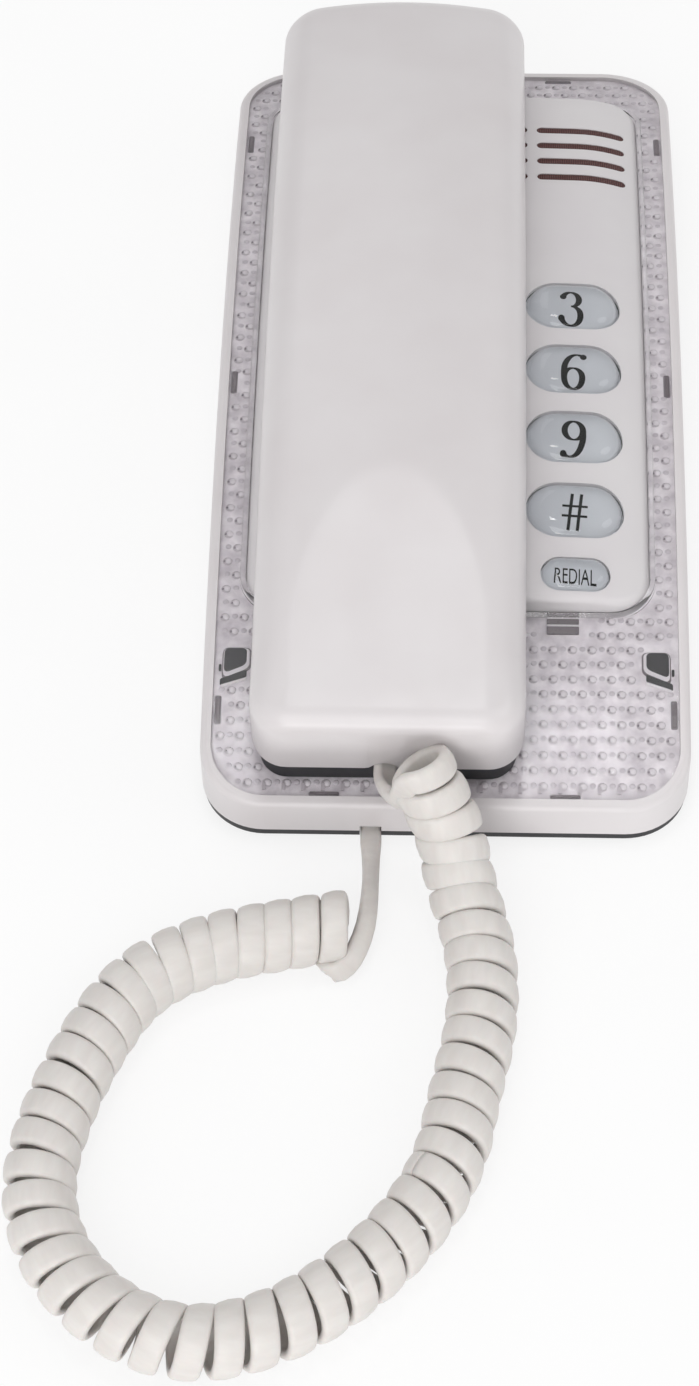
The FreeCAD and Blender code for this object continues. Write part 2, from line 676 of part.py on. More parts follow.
def base_pan():
    """Dark bottom cover with a lip inside the walls and posts for the boards."""
    floor = prism(base_outline(PAN_INSET), PAN_Z, PAN_FLOOR_Z)
    lip_inset = WALL + PAN_LIP_GAP
    lip = prism(base_outline(lip_inset), PAN_FLOOR_Z, PAN_FLOOR_Z + PAN_LIP_HEIGHT)
    lip = lip.cut(prism(base_outline(lip_inset + PAN_LIP_THICK), 0, TALL))
    posts = []
    for x in (-KEY_POST_X, KEY_POST_X):
        for y in KEY_POST_Y:
            posts.append(below_key_board(rod(x, y, POST_RADIUS, PAN_FLOOR_Z, TALL)))
    for x in LINE_POST_X:
        for y in LINE_POST_Y:
            posts.append(rod(x, y, POST_RADIUS, PAN_FLOOR_Z, LINE_BOARD_Z))
    pan = fused([floor, lip] + posts)
    cuts = [keyhole(-KEYHOLE_SPACING / 2), keyhole(KEYHOLE_SPACING / 2)]
    mouth_y = -HALF_LENGTH + CORD_MOUTH_DEPTH
    for width, low, high in ((CORD_NOTCH_WIDTH, mouth_y, CORD_NOTCH_END_Y),
                             (WALL_NOTCH_WIDTH, -HALF_LENGTH - 1, mouth_y + 1)):
        cuts.append(box(BASE_JACK_X - width / 2, BASE_JACK_X + width / 2, low, high,
                        PAN_Z - 1, PAN_FLOOR_Z + PAN_LIP_HEIGHT + 1))
    for x in (-FOOT_X, FOOT_X):
        for y in FOOT_Y:
            cuts.append(rod(x, y, FOOT_RADIUS, PAN_Z - 1, PAN_Z + FOOT_RECESS))
    for x in (-SCREW_X, SCREW_X):
        for y in SCREW_Y:
            cuts.append(rod(x, y, SCREW_RADIUS + SCREW_CLEARANCE, PAN_Z - 1, PAN_FLOOR_Z + 1))
            cuts.append(rod(x, y, SCREW_HEAD_RADIUS + SCREW_CLEARANCE,
                            PAN_Z - 1, PAN_Z + SCREW_HEAD_HEIGHT))
    return pan.cut(cuts)


def feet():
    """Four rubber feet in the pan's recesses."""
    return Part.makeCompound([
        rod(x, y, FOOT_RADIUS, 0, PAN_Z + FOOT_RECESS) for x in (-FOOT_X, FOOT_X) for y in FOOT_Y
    ])


def base_screws():
    """Four screws from the pan into the housing's bosses."""
    screws = []
    for x in (-SCREW_X, SCREW_X):
        for y in SCREW_Y:
            head = rod(x, y, SCREW_HEAD_RADIUS, PAN_Z + 0.1, PAN_Z + SCREW_HEAD_HEIGHT)
            shaft = rod(x, y, SCREW_RADIUS, PAN_Z + SCREW_HEAD_HEIGHT, SCREW_TOP_Z)
            screws.append(fused([head, shaft]))
    return Part.makeCompound(screws)


def line_jack():
    """Socket for the line cord, its mouth in the left wall."""
    x0 = -HALF_WIDTH + WALL
    y0 = LINE_JACK_Y - LINE_JACK_WIDTH / 2
    case = box(x0, x0 + LINE_JACK_DEPTH, y0, y0 + LINE_JACK_WIDTH,
               LINE_BOARD_TOP, LINE_BOARD_TOP + LINE_JACK_HEIGHT)
    z = LINE_BOARD_TOP + LINE_JACK_HEIGHT / 2
    mouth = box(x0 - 1, x0 + LINE_MOUTH_DEPTH,
                LINE_JACK_Y - LINE_MOUTH_WIDTH / 2, LINE_JACK_Y + LINE_MOUTH_WIDTH / 2,
                z - LINE_MOUTH_HEIGHT / 2, z + LINE_MOUTH_HEIGHT / 2)
    return case.cut(mouth)


def cord_jack():
    """Socket for a cord plug, drawn with its mouth at the origin, open to -Y."""
    half = CORD_JACK_WIDTH / 2
    tall = CORD_JACK_HEIGHT / 2
    case = box(-half, half, 0, CORD_JACK_LENGTH, -tall, tall)
    mouth_x = PLUG_WIDTH / 2 + PLUG_GAP
    mouth_z = PLUG_HEIGHT / 2 + PLUG_GAP
    depth = PLUG_LENGTH - PLUG_SEAT + PLUG_GAP
    return case.cut(box(-mouth_x, mouth_x, -1, depth, -mouth_z, mouth_z))


def cord_plug():
    """Plug drawn in the place it takes in the drawn socket."""
    half = PLUG_WIDTH / 2
    tall = PLUG_HEIGHT / 2
    body = box(-half, half, -PLUG_SEAT, PLUG_LENGTH - PLUG_SEAT, -tall, tall)
    ends = [e for e in body.Edges if abs(e.CenterOfMass.y + PLUG_SEAT) < 1e-6]
    return body.makeChamfer(0.5, ends)


def at_base_jack(shape):
    """Return a socket or plug moved to the base's place for it."""
    moved = shape.copy()
    moved.translate(vec(BASE_JACK_X, BASE_JACK_Y, PAN_FLOOR_Z + CORD_JACK_HEIGHT / 2))
    return moved


def handset_jack_spot():
    """Return the place and tilt of the handset's socket."""
    angle = row_angle(HANDSET_JACK_Y, MOUTH_LEVEL + FRONT_FLOOR)
    tilt = -angle + HANDSET_JACK_TILT
    level = MOUTH_LEVEL + FRONT_FLOOR + HANDSET_JACK_LIFT + CORD_JACK_HEIGHT / 2
    front_y = HANDSET_JACK_Y - CORD_JACK_LENGTH / 2
    return vec(HANDSET_X, front_y, arch_z(front_y, level)), tilt


def at_handset_jack(shape):
    """Return a socket or plug moved to the handset's place for it."""
    point, tilt = handset_jack_spot()
    moved = shape.copy()
    moved.rotate(vec(0, 0, 0), ALONG_X, tilt)
    moved.translate(point)
    return moved


def handset_lead_points():
    """Return both ends of the straight lead in the handset."""
    point, tilt = handset_jack_spot()
    a = math.radians(tilt)
    away = vec(0, -math.cos(a), -math.sin(a))
    start = point + away * PLUG_SEAT
    return start, start + away * LEAD_LENGTH, away


def handset_lead(radius):
    """Return the straight stretch of the cord that stays in the handset."""
    start, end, away = handset_lead_points()
    return Part.makeCylinder(radius, (end - start).Length, start, away)


def handset_shape():
    """Return the outside of the white handset shell."""
    solid = prism(handset_outline(0), 0, TALL)
    solid = solid.common(under_crown(HANDSET_X, HANDSET_LEVEL, HANDSET_CROWN, 0))
    solid = round_top(solid, HANDSET_ROUND, HANDSET_WIDTH * 100)
    apex = vec(0, FACET_APEX_Y, arch_z(FACET_APEX_Y, HANDSET_LEVEL))
    low_y = HANDSET_LOW_Y + HANDSET_ROUND
    low = vec(0, low_y, arch_z(low_y, HANDSET_LEVEL) - FACET_LOW_DEPTH)
    slope = (apex.z - low.z) / (apex.y - low.y)
    reach = 40.0
    ends = [vec(-60, apex.y + s * reach, apex.z + s * reach * slope) for s in (-2, 1)]
    edges = [
        Part.makeLine(ends[0], ends[1]),
        Part.makeLine(ends[1], vec(-60, ends[1].y, 90)),
        Part.makeLine(vec(-60, ends[1].y, 90), vec(-60, ends[0].y, 90)),
        Part.makeLine(vec(-60, ends[0].y, 90), ends[0]),
    ]
    return solid.cut(Part.Face(Part.Wire(edges)).extrude(vec(120, 0, 0)))


def lead_slot():
    """Return the way out of the handset for its lead."""
    start, end, away = handset_lead_points()
    half = WIRE / 2 + LEAD_SLOT_GAP
    slot = box(-LEAD_SLOT_WIDTH / 2, LEAD_SLOT_WIDTH / 2, 0, LEAD_LENGTH + 6, -20.0, half)
    slot.rotate(vec(0, 0, 0), ALONG_X, math.degrees(math.asin(away.z)))
    slot.rotate(vec(0, 0, 0), UP, 180)
    slot.translate(start)
    return slot.common(box(-60, 60, -120, HANDSET_LOW_Y + 5, -20, TALL))


def handset_back():
    """White outer shell of the handset."""
    shell = above(handset_shape(), PART_LEVEL)
    hollow = prism(handset_outline(HANDSET_WALL), 0, TALL)
    hollow = hollow.common(under_crown(HANDSET_X, HANDSET_LEVEL, HANDSET_CROWN, -HANDSET_SKIN))
    shell = shell.cut(hollow)
    bosses = []
    for y in HANDSET_SCREW_Y:
        boss = rod(HANDSET_X, 0, BOSS_RADIUS, RIM_TOP_Z + FRONT_TOP_LEVEL,
                   RIM_TOP_Z + HANDSET_LEVEL - HANDSET_SKIN + 0.8)
        bosses.append(turned(boss, y, FRONT_TOP_LEVEL))
    shell = fused([shell] + bosses)
    cuts = [lead_slot()]
    for y in HANDSET_SCREW_Y:
        hole = rod(HANDSET_X, 0, SCREW_RADIUS, RIM_TOP_Z, RIM_TOP_Z + HANDSET_SCREW_TOP)
        cuts.append(turned(hole, y, FRONT_TOP_LEVEL))
    return shell.cut(cuts)


def handset_front():
    """Dark inner shell of the handset, deep at both ends."""
    wide = handset_outline(FRONT_INSET)
    inner = handset_outline(HANDSET_WALL)
    pocket = handset_outline(HANDSET_WALL + FRONT_POCKET_WALL)

    def zone(y0, y1):
        return box(-60, 60, y0, y1, -20, TALL)

    mouth = zone(-120, MOUTH_END_Y)
    middle = zone(MOUTH_END_Y, EAR_START_Y)
    ear = zone(EAR_START_Y, 120)
    shell = fused([
        band(wide, MOUTH_LEVEL, PART_LEVEL).common(mouth),
        band(inner, PART_LEVEL, FRONT_TOP_LEVEL).common(mouth),
        band(inner, MIDDLE_LEVEL, FRONT_TOP_LEVEL).common(middle),
        band(wide, EAR_LEVEL, PART_LEVEL).common(ear),
        band(inner, PART_LEVEL, FRONT_TOP_LEVEL).common(ear),
    ])
    over = FRONT_TOP_LEVEL + 4
    cuts = [
        band(pocket, MOUTH_LEVEL + FRONT_FLOOR, over).common(zone(-120, MOUTH_END_Y - 2)),
        band(pocket, EAR_LEVEL + FRONT_FLOOR, over).common(zone(EAR_START_Y + 2, 120)),
        lead_slot(),
    ]
    spots = [(HANDSET_X, 0.0)]
    for i in range(EAR_HOLE_COUNT):
        a = 2 * math.pi * i / EAR_HOLE_COUNT
        spots.append((HANDSET_X + EAR_HOLE_CIRCLE * math.cos(a), EAR_HOLE_CIRCLE * math.sin(a)))
    for x, dy in spots:
        hole = rod(x, dy, EAR_HOLE_RADIUS, RIM_TOP_Z, RIM_TOP_Z + over)
        cuts.append(turned(hole, EAR_Y, EAR_LEVEL))
    for dx in (-2.0, 0.0, 2.0):
        hole = rod(MIC_X + dx, 0, MIC_HOLE_RADIUS, RIM_TOP_Z - 3, RIM_TOP_Z + over)
        cuts.append(turned(hole, MIC_Y, MOUTH_LEVEL))
    for y in HANDSET_SCREW_Y:
        head = rod(HANDSET_X, 0, SCREW_HEAD_RADIUS + SCREW_CLEARANCE,
                   RIM_TOP_Z, RIM_TOP_Z + MIDDLE_LEVEL + SCREW_HEAD_HEIGHT)
        shaft = rod(HANDSET_X, 0, SCREW_RADIUS + SCREW_CLEARANCE, RIM_TOP_Z, RIM_TOP_Z + over)
        cuts.append(turned(head.fuse(shaft), y, FRONT_TOP_LEVEL))
    return shell.cut(cuts)


def handset_screws():
    """Two screws that hold the handset's shells together."""
    screws = []
    low = RIM_TOP_Z + MIDDLE_LEVEL
    for y in HANDSET_SCREW_Y:
        head = rod(HANDSET_X, 0, SCREW_HEAD_RADIUS, low + 0.1, low + SCREW_HEAD_HEIGHT)
        shaft = rod(HANDSET_X, 0, SCREW_RADIUS, low + SCREW_HEAD_HEIGHT,
                    RIM_TOP_Z + HANDSET_SCREW_TOP - 0.3)
        screws.append(turned(fused([head, shaft]), y, FRONT_TOP_LEVEL))
    return Part.makeCompound(screws)


def receiver():
    """Round receiver capsule over the ear holes."""
    low = RIM_TOP_Z + EAR_LEVEL + FRONT_FLOOR
    return turned(rod(HANDSET_X, 0, EAR_RADIUS, low, low + EAR_HEIGHT), EAR_Y, EAR_LEVEL)


def microphone():
    """Small microphone capsule over its holes."""
    low = RIM_TOP_Z + MOUTH_LEVEL + FRONT_FLOOR
    return turned(rod(MIC_X, 0, MIC_RADIUS, low, low + MIC_HEIGHT), MIC_Y, MOUTH_LEVEL)


def handset_weight():
    """Steel bar on the handset's floor."""
    low = RIM_TOP_Z + FRONT_TOP_LEVEL
    bar = box(HANDSET_X - WEIGHT_WIDTH / 2, HANDSET_X + WEIGHT_WIDTH / 2,
              -WEIGHT_LENGTH / 2, WEIGHT_LENGTH / 2, low, low + WEIGHT_HEIGHT)
    return turned(bar, WEIGHT_Y, FRONT_TOP_LEVEL)


def spline_point(points, t):
    """Return a point of the clamped quadratic spline over control points.

    t runs from 0 to the number of spans.
    """
    spans = len(points) - 2
    i = min(int(t), spans - 1)
    knots = [0, 0] + list(range(spans + 1)) + [spans, spans]
    work = [vec(*points[i + j]) for j in range(3)]
    for level in (1, 2):
        for j in range(2, level - 1, -1):
            low = knots[i + j]
            high = knots[i + j + 3 - level]
            w = (t - low) / (high - low)
            work[j] = work[j - 1] * (1 - w) + work[j] * w
    return work[2]


def even_path(points, count):
    """Return points evenly spaced along the spline, and its length."""
    spans = len(points) - 2
    fine = [spline_point(points, spans * k / 4000.0) for k in range(4001)]
    run = [0.0]
    for a, b in zip(fine, fine[1:]):
        run.append(run[-1] + (b - a).Length)
    path = []
    k = 0
    for n in range(count):
        want = run[-1] * n / (count - 1)
        while k < len(run) - 2 and run[k + 1] < want:
            k += 1
        w = (want - run[k]) / (run[k + 1] - run[k])
        path.append(fine[k] * (1 - w) + fine[k + 1] * w)
    return path, run[-1]


def coil_points(points, radius, turns, start_angle, per_turn):
    """Return points of a helix wound about the spline."""
    path, _ = even_path(points, int(round(turns * per_turn)) + 1)
    tangents = []
    for n in range(len(path)):
        step = path[min(n + 1, len(path) - 1)] - path[max(n - 1, 0)]
        tangents.append(step.normalize())
    side = ALONG_X - tangents[0] * tangents[0].dot(ALONG_X)
    side.normalize()
    helix = []
    for n, (centre, tangent) in enumerate(zip(path, tangents)):
        side = side - tangent * side.dot(tangent)
        side.normalize()
        other = tangent.cross(side)
        a = math.radians(start_angle) - 2 * math.pi * n / per_turn
        helix.append(centre + side * (radius * math.cos(a)) + other * (radius * math.sin(a)))
    return helix


def biarc(p0, t0, p1, t1):
    """Return two arcs that join two points and keep both directions."""
    gap = p1 - p0
    both = t0 + t1
    a = 2 * (1 - t0.dot(t1))
    b = gap.dot(both)
    if a < 1e-9:
        d = gap.dot(gap) / (4 * gap.dot(t0))
    else:
        d = (-b + math.sqrt(b * b + a * gap.dot(gap))) / a
    joint = (p0 + t0 * d + p1 - t1 * d) * 0.5
    return [arc_from(p0, t0, joint), arc_from(joint, (p1 - t1 * d - joint).normalize(), p1)]


def arc_from(start, direction, end):
    """Return the arc or line that leaves a point in a direction and ends at another."""
    chord = end - start
    cross = direction.cross(chord)
    if cross.Length < 1e-6 * chord.Length:
        return Part.makeLine(start, end)
    normal = cross.normalize()
    inward = normal.cross(direction)
    radius = chord.dot(chord) / (2 * chord.dot(inward))
    centre = start + inward * radius
    middle = (start + end) * 0.5 - centre
    if direction.dot(chord) < 0:
        middle = middle * -1
    middle.normalize()
    return Part.Arc(start, centre + middle * radius, end).toShape()


def tube(edges, radius):
    """Return a round tube along joined edges."""
    first = edges[0]
    start = first.valueAt(first.FirstParameter)
    direction = first.tangentAt(first.FirstParameter)
    ring = Part.Wire([Part.makeCircle(radius, start, direction)])
    return Part.Wire(edges).makePipeShell([ring], True, False)


def curve_of(points, tangents):
    """Return biarcs through points that keep their directions."""
    edges = []
    for k in range(len(points) - 1):
        edges += biarc(points[k], tangents[k], points[k + 1], tangents[k + 1])
    return edges


def helix_tangents(points):
    """Return the direction of the circle through each three points."""
    tangents = []
    last = len(points) - 1
    for n in range(last + 1):
        m = min(max(n, 1), last - 1)
        a = points[m] - points[m - 1]
        b = points[m + 1] - points[m]
        u = a * (1 / a.dot(a))
        v = b * (1 / b.dot(b))
        middle = (u + v).normalize()
        if n == 0:
            middle = (a * (2 / a.Length) - middle * 1.0).normalize()
        if n == last:
            middle = (b * (2 / b.Length) - middle * 1.0).normalize()
        tangents.append(middle)
    return tangents


def hermite(p0, t0, p1, t1, steps):
    """Return inner points and directions of a smooth join."""
    points = []
    tangents = []
    for k in range(1, steps):
        s = k / steps
        h = (2 * s ** 3 - 3 * s * s + 1, s ** 3 - 2 * s * s + s, -2 * s ** 3 + 3 * s * s, s ** 3 - s * s)
        g = (6 * s * s - 6 * s, 3 * s * s - 4 * s + 1, -6 * s * s + 6 * s, 3 * s * s - 2 * s)
        points.append(p0 * h[0] + t0 * h[1] + p1 * h[2] + t1 * h[3])
        tangents.append((p0 * g[0] + t0 * g[1] + p1 * g[2] + t1 * g[3]).normalize())
    return points, tangents


def s_bend(y_low, z_low, z_high, radius):
    """Return points and directions of a rise between two level runs along +Y."""
    turn = math.acos(1 - (z_high - z_low) / (2 * radius))
    length = radius * math.sin(turn)
    x = BASE_JACK_X
    middle = vec(x, y_low + length, (z_low + z_high) / 2)
    points = [vec(x, y_low, z_low), middle, vec(x, y_low + 2 * length, z_high)]
    return points, [vec(0, 1, 0), vec(0, math.cos(turn), math.sin(turn)), vec(0, 1, 0)]


def cord_path():
    """Return the points and directions of the cord from the handset to the base."""
    _, lead_end, away = handset_lead_points()
    begin = lead_end + away * SPLIT_GAP
    run = begin + away * WIRE
    helix = coil_points(COIL_ROUTE, COIL_RADIUS, COIL_TURNS, COIL_START_ANGLE, 4)
    turns = helix_tangents(helix)
    points = [begin, run]
    tangents = [away, away]
    join, join_t = hermite(run, away * JOIN_START_PULL[0],
                           helix[0], turns[0] * JOIN_START_PULL[1], JOIN_STEPS)
    points += join + helix
    tangents += join_t + turns
    plug_y = BASE_JACK_Y - PLUG_SEAT
    jack_z = PAN_FLOOR_Z + CORD_JACK_HEIGHT / 2
    rise, rise_t = s_bend(0, LEAD_Z, jack_z, LEAD_BEND)
    shift = plug_y - 0.1 - WIRE - rise[-1].y
    rise = [q + vec(0, shift, 0) for q in rise]
    level = vec(0, 1, 0)
    low = vec(LEAD_START[0], LEAD_START[1], LEAD_Z)
    corner = vec(BASE_JACK_X, LEAD_CORNER_Y, LEAD_Z)
    slant = (corner - low).normalize()
    half_turn = math.acos(slant.dot(level)) / 2
    bend = 0.45 * (rise[0].y - corner.y) / math.tan(half_turn)
    reach = bend * math.tan(half_turn)
    print("lead: bend radii %.1f and %.1f" % (bend, LEAD_BEND))
    join, join_t = hermite(helix[-1], turns[-1] * JOIN_END_PULL[0],
                           low, slant * JOIN_END_PULL[1], JOIN_STEPS)
    points += join + [low, corner - slant * reach, corner + level * reach]
    tangents += join_t + [slant, slant, level]
    points += rise + [vec(BASE_JACK_X, plug_y - 0.1, jack_z)]
    tangents += rise_t + [level]
    return points, tangents


def least_gap(edges, radius):
    """Return the least distance between stretches of a tube that aren't neighbours."""
    spots = []
    run = 0.0
    for edge in edges:
        count = max(2, int(edge.Length / 0.8))
        for k in range(count):
            s = k / count
            p = edge.valueAt(edge.getParameterByLength(edge.Length * s))
            spots.append((run + edge.Length * s, p))
        run += edge.Length
    apart = math.pi * COIL_RADIUS
    cell = 2 * radius + 2.0
    grid = {}
    for s, p in spots:
        key = (int(p.x // cell), int(p.y // cell), int(p.z // cell))
        grid.setdefault(key, []).append((s, p))
    least = 1e9
    around = (-1, 0, 1)
    for (i, j, k), group in grid.items():
        near = []
        for di in around:
            for dj in around:
                for dk in around:
                    near += grid.get((i + di, j + dj, k + dk), [])
        for s, p in group:
            for t, q in near:
                if t - s > apart:
                    least = min(least, (p - q).Length)
    return least - 2 * radius, run


def curly_cord():
    """Curly cord from the handset's lead to the base's plug."""
    points, tangents = cord_path()
    edges = curve_of(points, tangents)
    radii = [e.Curve.Radius for e in edges if hasattr(e.Curve, "Radius")]
    lowest = min(e.BoundBox.ZMin for e in edges) - WIRE / 2
    gap, run = least_gap(edges, WIRE / 2)
    solid = tube(edges, WIRE / 2)
    print("cord: length %.1f, least gap to itself %.2f, least bend radius %.2f, lowest %.2f"
          % (run, gap, min(radii), lowest))
    print("cord: volume %.0f, section times length %.0f, edges %d"
          % (solid.Volume, math.pi * WIRE * WIRE / 4 * run, len(edges)))
    return solid


def hook_spring():
    """Spring round the plunger's stem, between the board and the flange."""
    low = LINE_BOARD_TOP + SPRING_WIRE / 2 + SPRING_END_GAP
    high = HOOK_FLANGE_Z - SPRING_WIRE / 2 - SPRING_END_GAP
    ends = ((HANDSET_X, HOOK_Y, low), (HANDSET_X, HOOK_Y, (low + high) / 2), (HANDSET_X, HOOK_Y, high))
    helix = coil_points(ends, SPRING_RADIUS, SPRING_TURNS, 0, 4)
    return tube(curve_of(helix, helix_tangents(helix)), SPRING_WIRE / 2)


def check_keys():
    """Print the slide direction of every key."""
    for name, x, y, _, _ in key_places():
        a = math.asin(x / CROWN_RADIUS)
        b = math.radians(row_angle(y, PANEL_RISE))
        axis = (-math.sin(a), -math.cos(a) * math.sin(b), -math.cos(a) * math.cos(b))
        print("slide", name, "%.6f %.6f %.6f" % axis)


def build():
    """Return every piece by its name."""
    parts = {
        "base_housing": base_housing(),
        "clear_plate": clear_plate(),
        "keypad_panel": keypad_panel(),
        "base_pan": base_pan(),
        "feet": feet(),
        "base_screws": base_screws(),
        "keypad_board": keypad_board(),
        "key_mat": key_mat(),
        "line_board": line_board(),
        "ringer": ringer(),
        "hook_plunger": hook_plunger(),
        "hook_spring": hook_spring(),
        "hook_switch": hook_switch(),
        "line_jack": line_jack(),
        "base_cord_jack": at_base_jack(cord_jack()),
        "base_plug": at_base_jack(cord_plug()),
        "handset_back": handset_back(),
        "handset_front": handset_front(),
        "handset_screws": handset_screws(),
        "receiver": receiver(),
        "microphone": microphone(),
        "handset_weight": handset_weight(),
        "handset_cord_jack": at_handset_jack(cord_jack()),
        "handset_plug": at_handset_jack(cord_plug()),
        "handset_lead": handset_lead(WIRE / 2),
        "curly_cord": curly_cord(),
    }
    for name, x, y, length, width in key_places():
        parts[name] = key_seat(key_cap(length, width), x, y)
    return parts


os.makedirs("parts", exist_ok=True)
check_keys()
for part_name, shape in build().items():
    print(part_name, "valid" if shape.isValid() else "NOT VALID", len(shape.Solids),
          "volume %.1f" % shape.Volume)
    shape.exportStep("parts/" + part_name + ".step")
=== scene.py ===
"""Looks of a corded desk and wall phone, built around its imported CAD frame.

Lengths are in metres, in the frame's own axes: X runs across the phone, Y from the
low end with the cord to the top end with the speaker slots, and Z up from the table.
"""

import json
import logging
import math
from dataclasses import dataclass, field
from enum import Enum
from functools import cached_property
from typing import Any, Callable, Dict, Iterable, List, Optional, Sequence, Tuple

import bmesh
import bpy
import numpy as np
from mathutils import Matrix, Vector

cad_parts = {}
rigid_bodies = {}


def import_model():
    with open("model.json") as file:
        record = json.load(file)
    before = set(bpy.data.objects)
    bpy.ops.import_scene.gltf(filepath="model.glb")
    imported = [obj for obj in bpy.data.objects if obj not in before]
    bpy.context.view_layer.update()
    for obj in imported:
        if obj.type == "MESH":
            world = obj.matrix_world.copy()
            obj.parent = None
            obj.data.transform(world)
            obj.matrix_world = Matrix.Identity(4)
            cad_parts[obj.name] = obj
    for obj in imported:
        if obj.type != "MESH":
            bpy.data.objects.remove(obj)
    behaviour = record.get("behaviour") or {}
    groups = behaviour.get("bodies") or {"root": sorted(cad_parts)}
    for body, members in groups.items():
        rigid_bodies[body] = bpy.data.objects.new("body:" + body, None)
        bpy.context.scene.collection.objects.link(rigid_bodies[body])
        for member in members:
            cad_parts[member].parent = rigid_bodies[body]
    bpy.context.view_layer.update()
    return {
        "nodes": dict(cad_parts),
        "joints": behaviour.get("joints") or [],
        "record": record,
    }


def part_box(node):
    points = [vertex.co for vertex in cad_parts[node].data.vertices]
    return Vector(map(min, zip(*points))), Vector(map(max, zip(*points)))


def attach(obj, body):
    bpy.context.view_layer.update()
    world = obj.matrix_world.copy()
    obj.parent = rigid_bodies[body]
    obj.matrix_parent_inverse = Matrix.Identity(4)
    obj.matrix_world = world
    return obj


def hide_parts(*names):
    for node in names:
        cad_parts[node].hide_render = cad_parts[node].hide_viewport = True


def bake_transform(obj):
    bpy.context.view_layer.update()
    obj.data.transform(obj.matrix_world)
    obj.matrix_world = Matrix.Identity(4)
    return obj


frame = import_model()

LOG = logging.getLogger("phone")
# Angle in degrees past which most edges shade as edges.
EDGE_ANGLE = 35.0
# Points nearer than this become one where rings close to a pole or a ridge.
POLE_REACH = 2e-6
# Depth of a key's top that counts as its crest.
CREST_DEPTH = 5e-5

Point = Tuple[float, float, float]
Colour = Tuple[int, int, int]
Pair = Tuple[float, float]
Heights = Callable[[np.ndarray], np.ndarray]
Piece = bpy.types.Object
Material = bpy.types.Material
Socket = bpy.types.NodeSocket


def linear(colour: Colour) -> Tuple[float, ...]:
    """Turns a colour as a screen shows it, 0 to 255 each, into a shader's linear one with alpha."""
    shares = [value / 255.0 for value in colour]
    return (*(s / 12.92 if s <= 0.04045 else ((s + 0.055) / 1.055) ** 2.4 for s in shares), 1.0)


class NodeTree:
    """Writes nodes and their links into a tree."""

    def __init__(self, tree: bpy.types.NodeTree) -> None:
        """Starts with the tree empty."""
        self.tree = tree
        tree.nodes.clear()

    def feed(self, node: bpy.types.Node, inputs: Dict[Any, Any]) -> None:
        """Links a node's inputs to sockets, or sets them to values.

        Args:
            node: The node.
            inputs: A socket or a value for each input, by the input's name or number.
        """
        for name, value in inputs.items():
            if isinstance(value, Socket):
                self.tree.links.new(value, node.inputs[name])
            else:
                node.inputs[name].default_value = value

    def add(self, kind: str, inputs: Dict[Any, Any], **settings: Any) -> Any:
        """Adds a node.

        Args:
            kind: Its kind.
            inputs: A socket or a value for each input that is not left as it comes.
            settings: Its own settings.

        Returns:
            Its outputs.
        """
        node = self.tree.nodes.new(kind)
        for name, value in settings.items():
            setattr(node, name, value)
        self.feed(node, inputs)
        return node.outputs

    def seen_by(self, rays: Sequence[str]) -> Socket:
        """Tells rays of some kinds from others.

        Args:
            rays: The kinds, by their names on the Light Path node.

        Returns:
            A value of 1 for those rays and 0 for others.
        """
        path = self.add("ShaderNodeLightPath", {})
        value = path[rays[0]]
        for name in rays[1:]:
            value = self.add("ShaderNodeMath", {0: value, 1: path[name]}, operation="MAXIMUM")[0]
        return value


class Place(Enum):
    """Coordinates that a pattern is laid out on."""

    OBJECT = "Object"
    UV = "UV"


class ShaderTree(NodeTree):
    """One node material around a Principled shader."""

    def __init__(self, name: str) -> None:
        """Starts the material with a bare shader and its output.

        Args:
            name: The material's name.
        """
        self.material = bpy.data.materials.new(name)
        self.material.use_nodes = True
        super().__init__(self.material.node_tree)
        self.shader = self.tree.nodes.new("ShaderNodeBsdfPrincipled")
        self.output = self.tree.nodes.new("ShaderNodeOutputMaterial")
        self.feed(self.output, {"Surface": self.shader.outputs["BSDF"]})
        self.place = self.add("ShaderNodeTexCoord", {})

    def fix(self, **values: Any) -> None:
        """Sets or links the shader's own sockets, named with underscores for spaces."""
        self.feed(self.shader, {name.replace("_", " "): value for name, value in values.items()})

    def coordinates(self, place: Place = Place.OBJECT, stretch: Point = (1.0, 1.0, 1.0)) -> Socket:
        """Gives a pattern's coordinates, stretched along each axis."""
        where = self.place[place.value]
        return self.add("ShaderNodeMapping", {"Scale": stretch, "Vector": where})["Vector"]

    def noise(self, scale: float, detail: float = 2.0, stretch: Point = (1.0, 1.0, 1.0),
              place: Place = Place.OBJECT) -> Socket:
        """Adds a cloudy pattern.

        Args:
            scale: Clouds to a metre, or to the whole of a UV map.
            detail: How many finer layers it has.
            stretch: Scale along each axis before that.
            place: Coordinates that it lies on.

        Returns:
            The pattern's value, about 0.5 in the middle.
        """
        where = self.coordinates(place, stretch)
        return self.add("ShaderNodeTexNoise", {"Scale": scale, "Detail": detail, "Vector": where})["Fac"]

    def span(self, value: Socket, low: float = 0.0, high: float = 1.0, start: float = 0.3,
             end: float = 0.7) -> Socket:
        """Spreads a value from start to end over low to high."""
        return self.add("ShaderNodeMapRange", {"Value": value, "From Min": start, "From Max": end,
                                               "To Min": low, "To Max": high})["Result"]

    def tint(self, value: Socket, low: Colour, high: Colour) -> Socket:
        """Mixes two colours by a value.

        Args:
            value: Share of the second colour, from 0 to 1.
            low: The first colour.
            high: The second colour.

        Returns:
            The mixed colour.
        """
        node = self.tree.nodes.new("ShaderNodeMix")
        node.data_type = "RGBA"
        self.feed(node, {"Factor": value})
        for socket, colour in zip((s for s in node.inputs if s.type == "RGBA"), (low, high)):
            socket.default_value = linear(colour)
        return next(s for s in node.outputs if s.type == "RGBA")


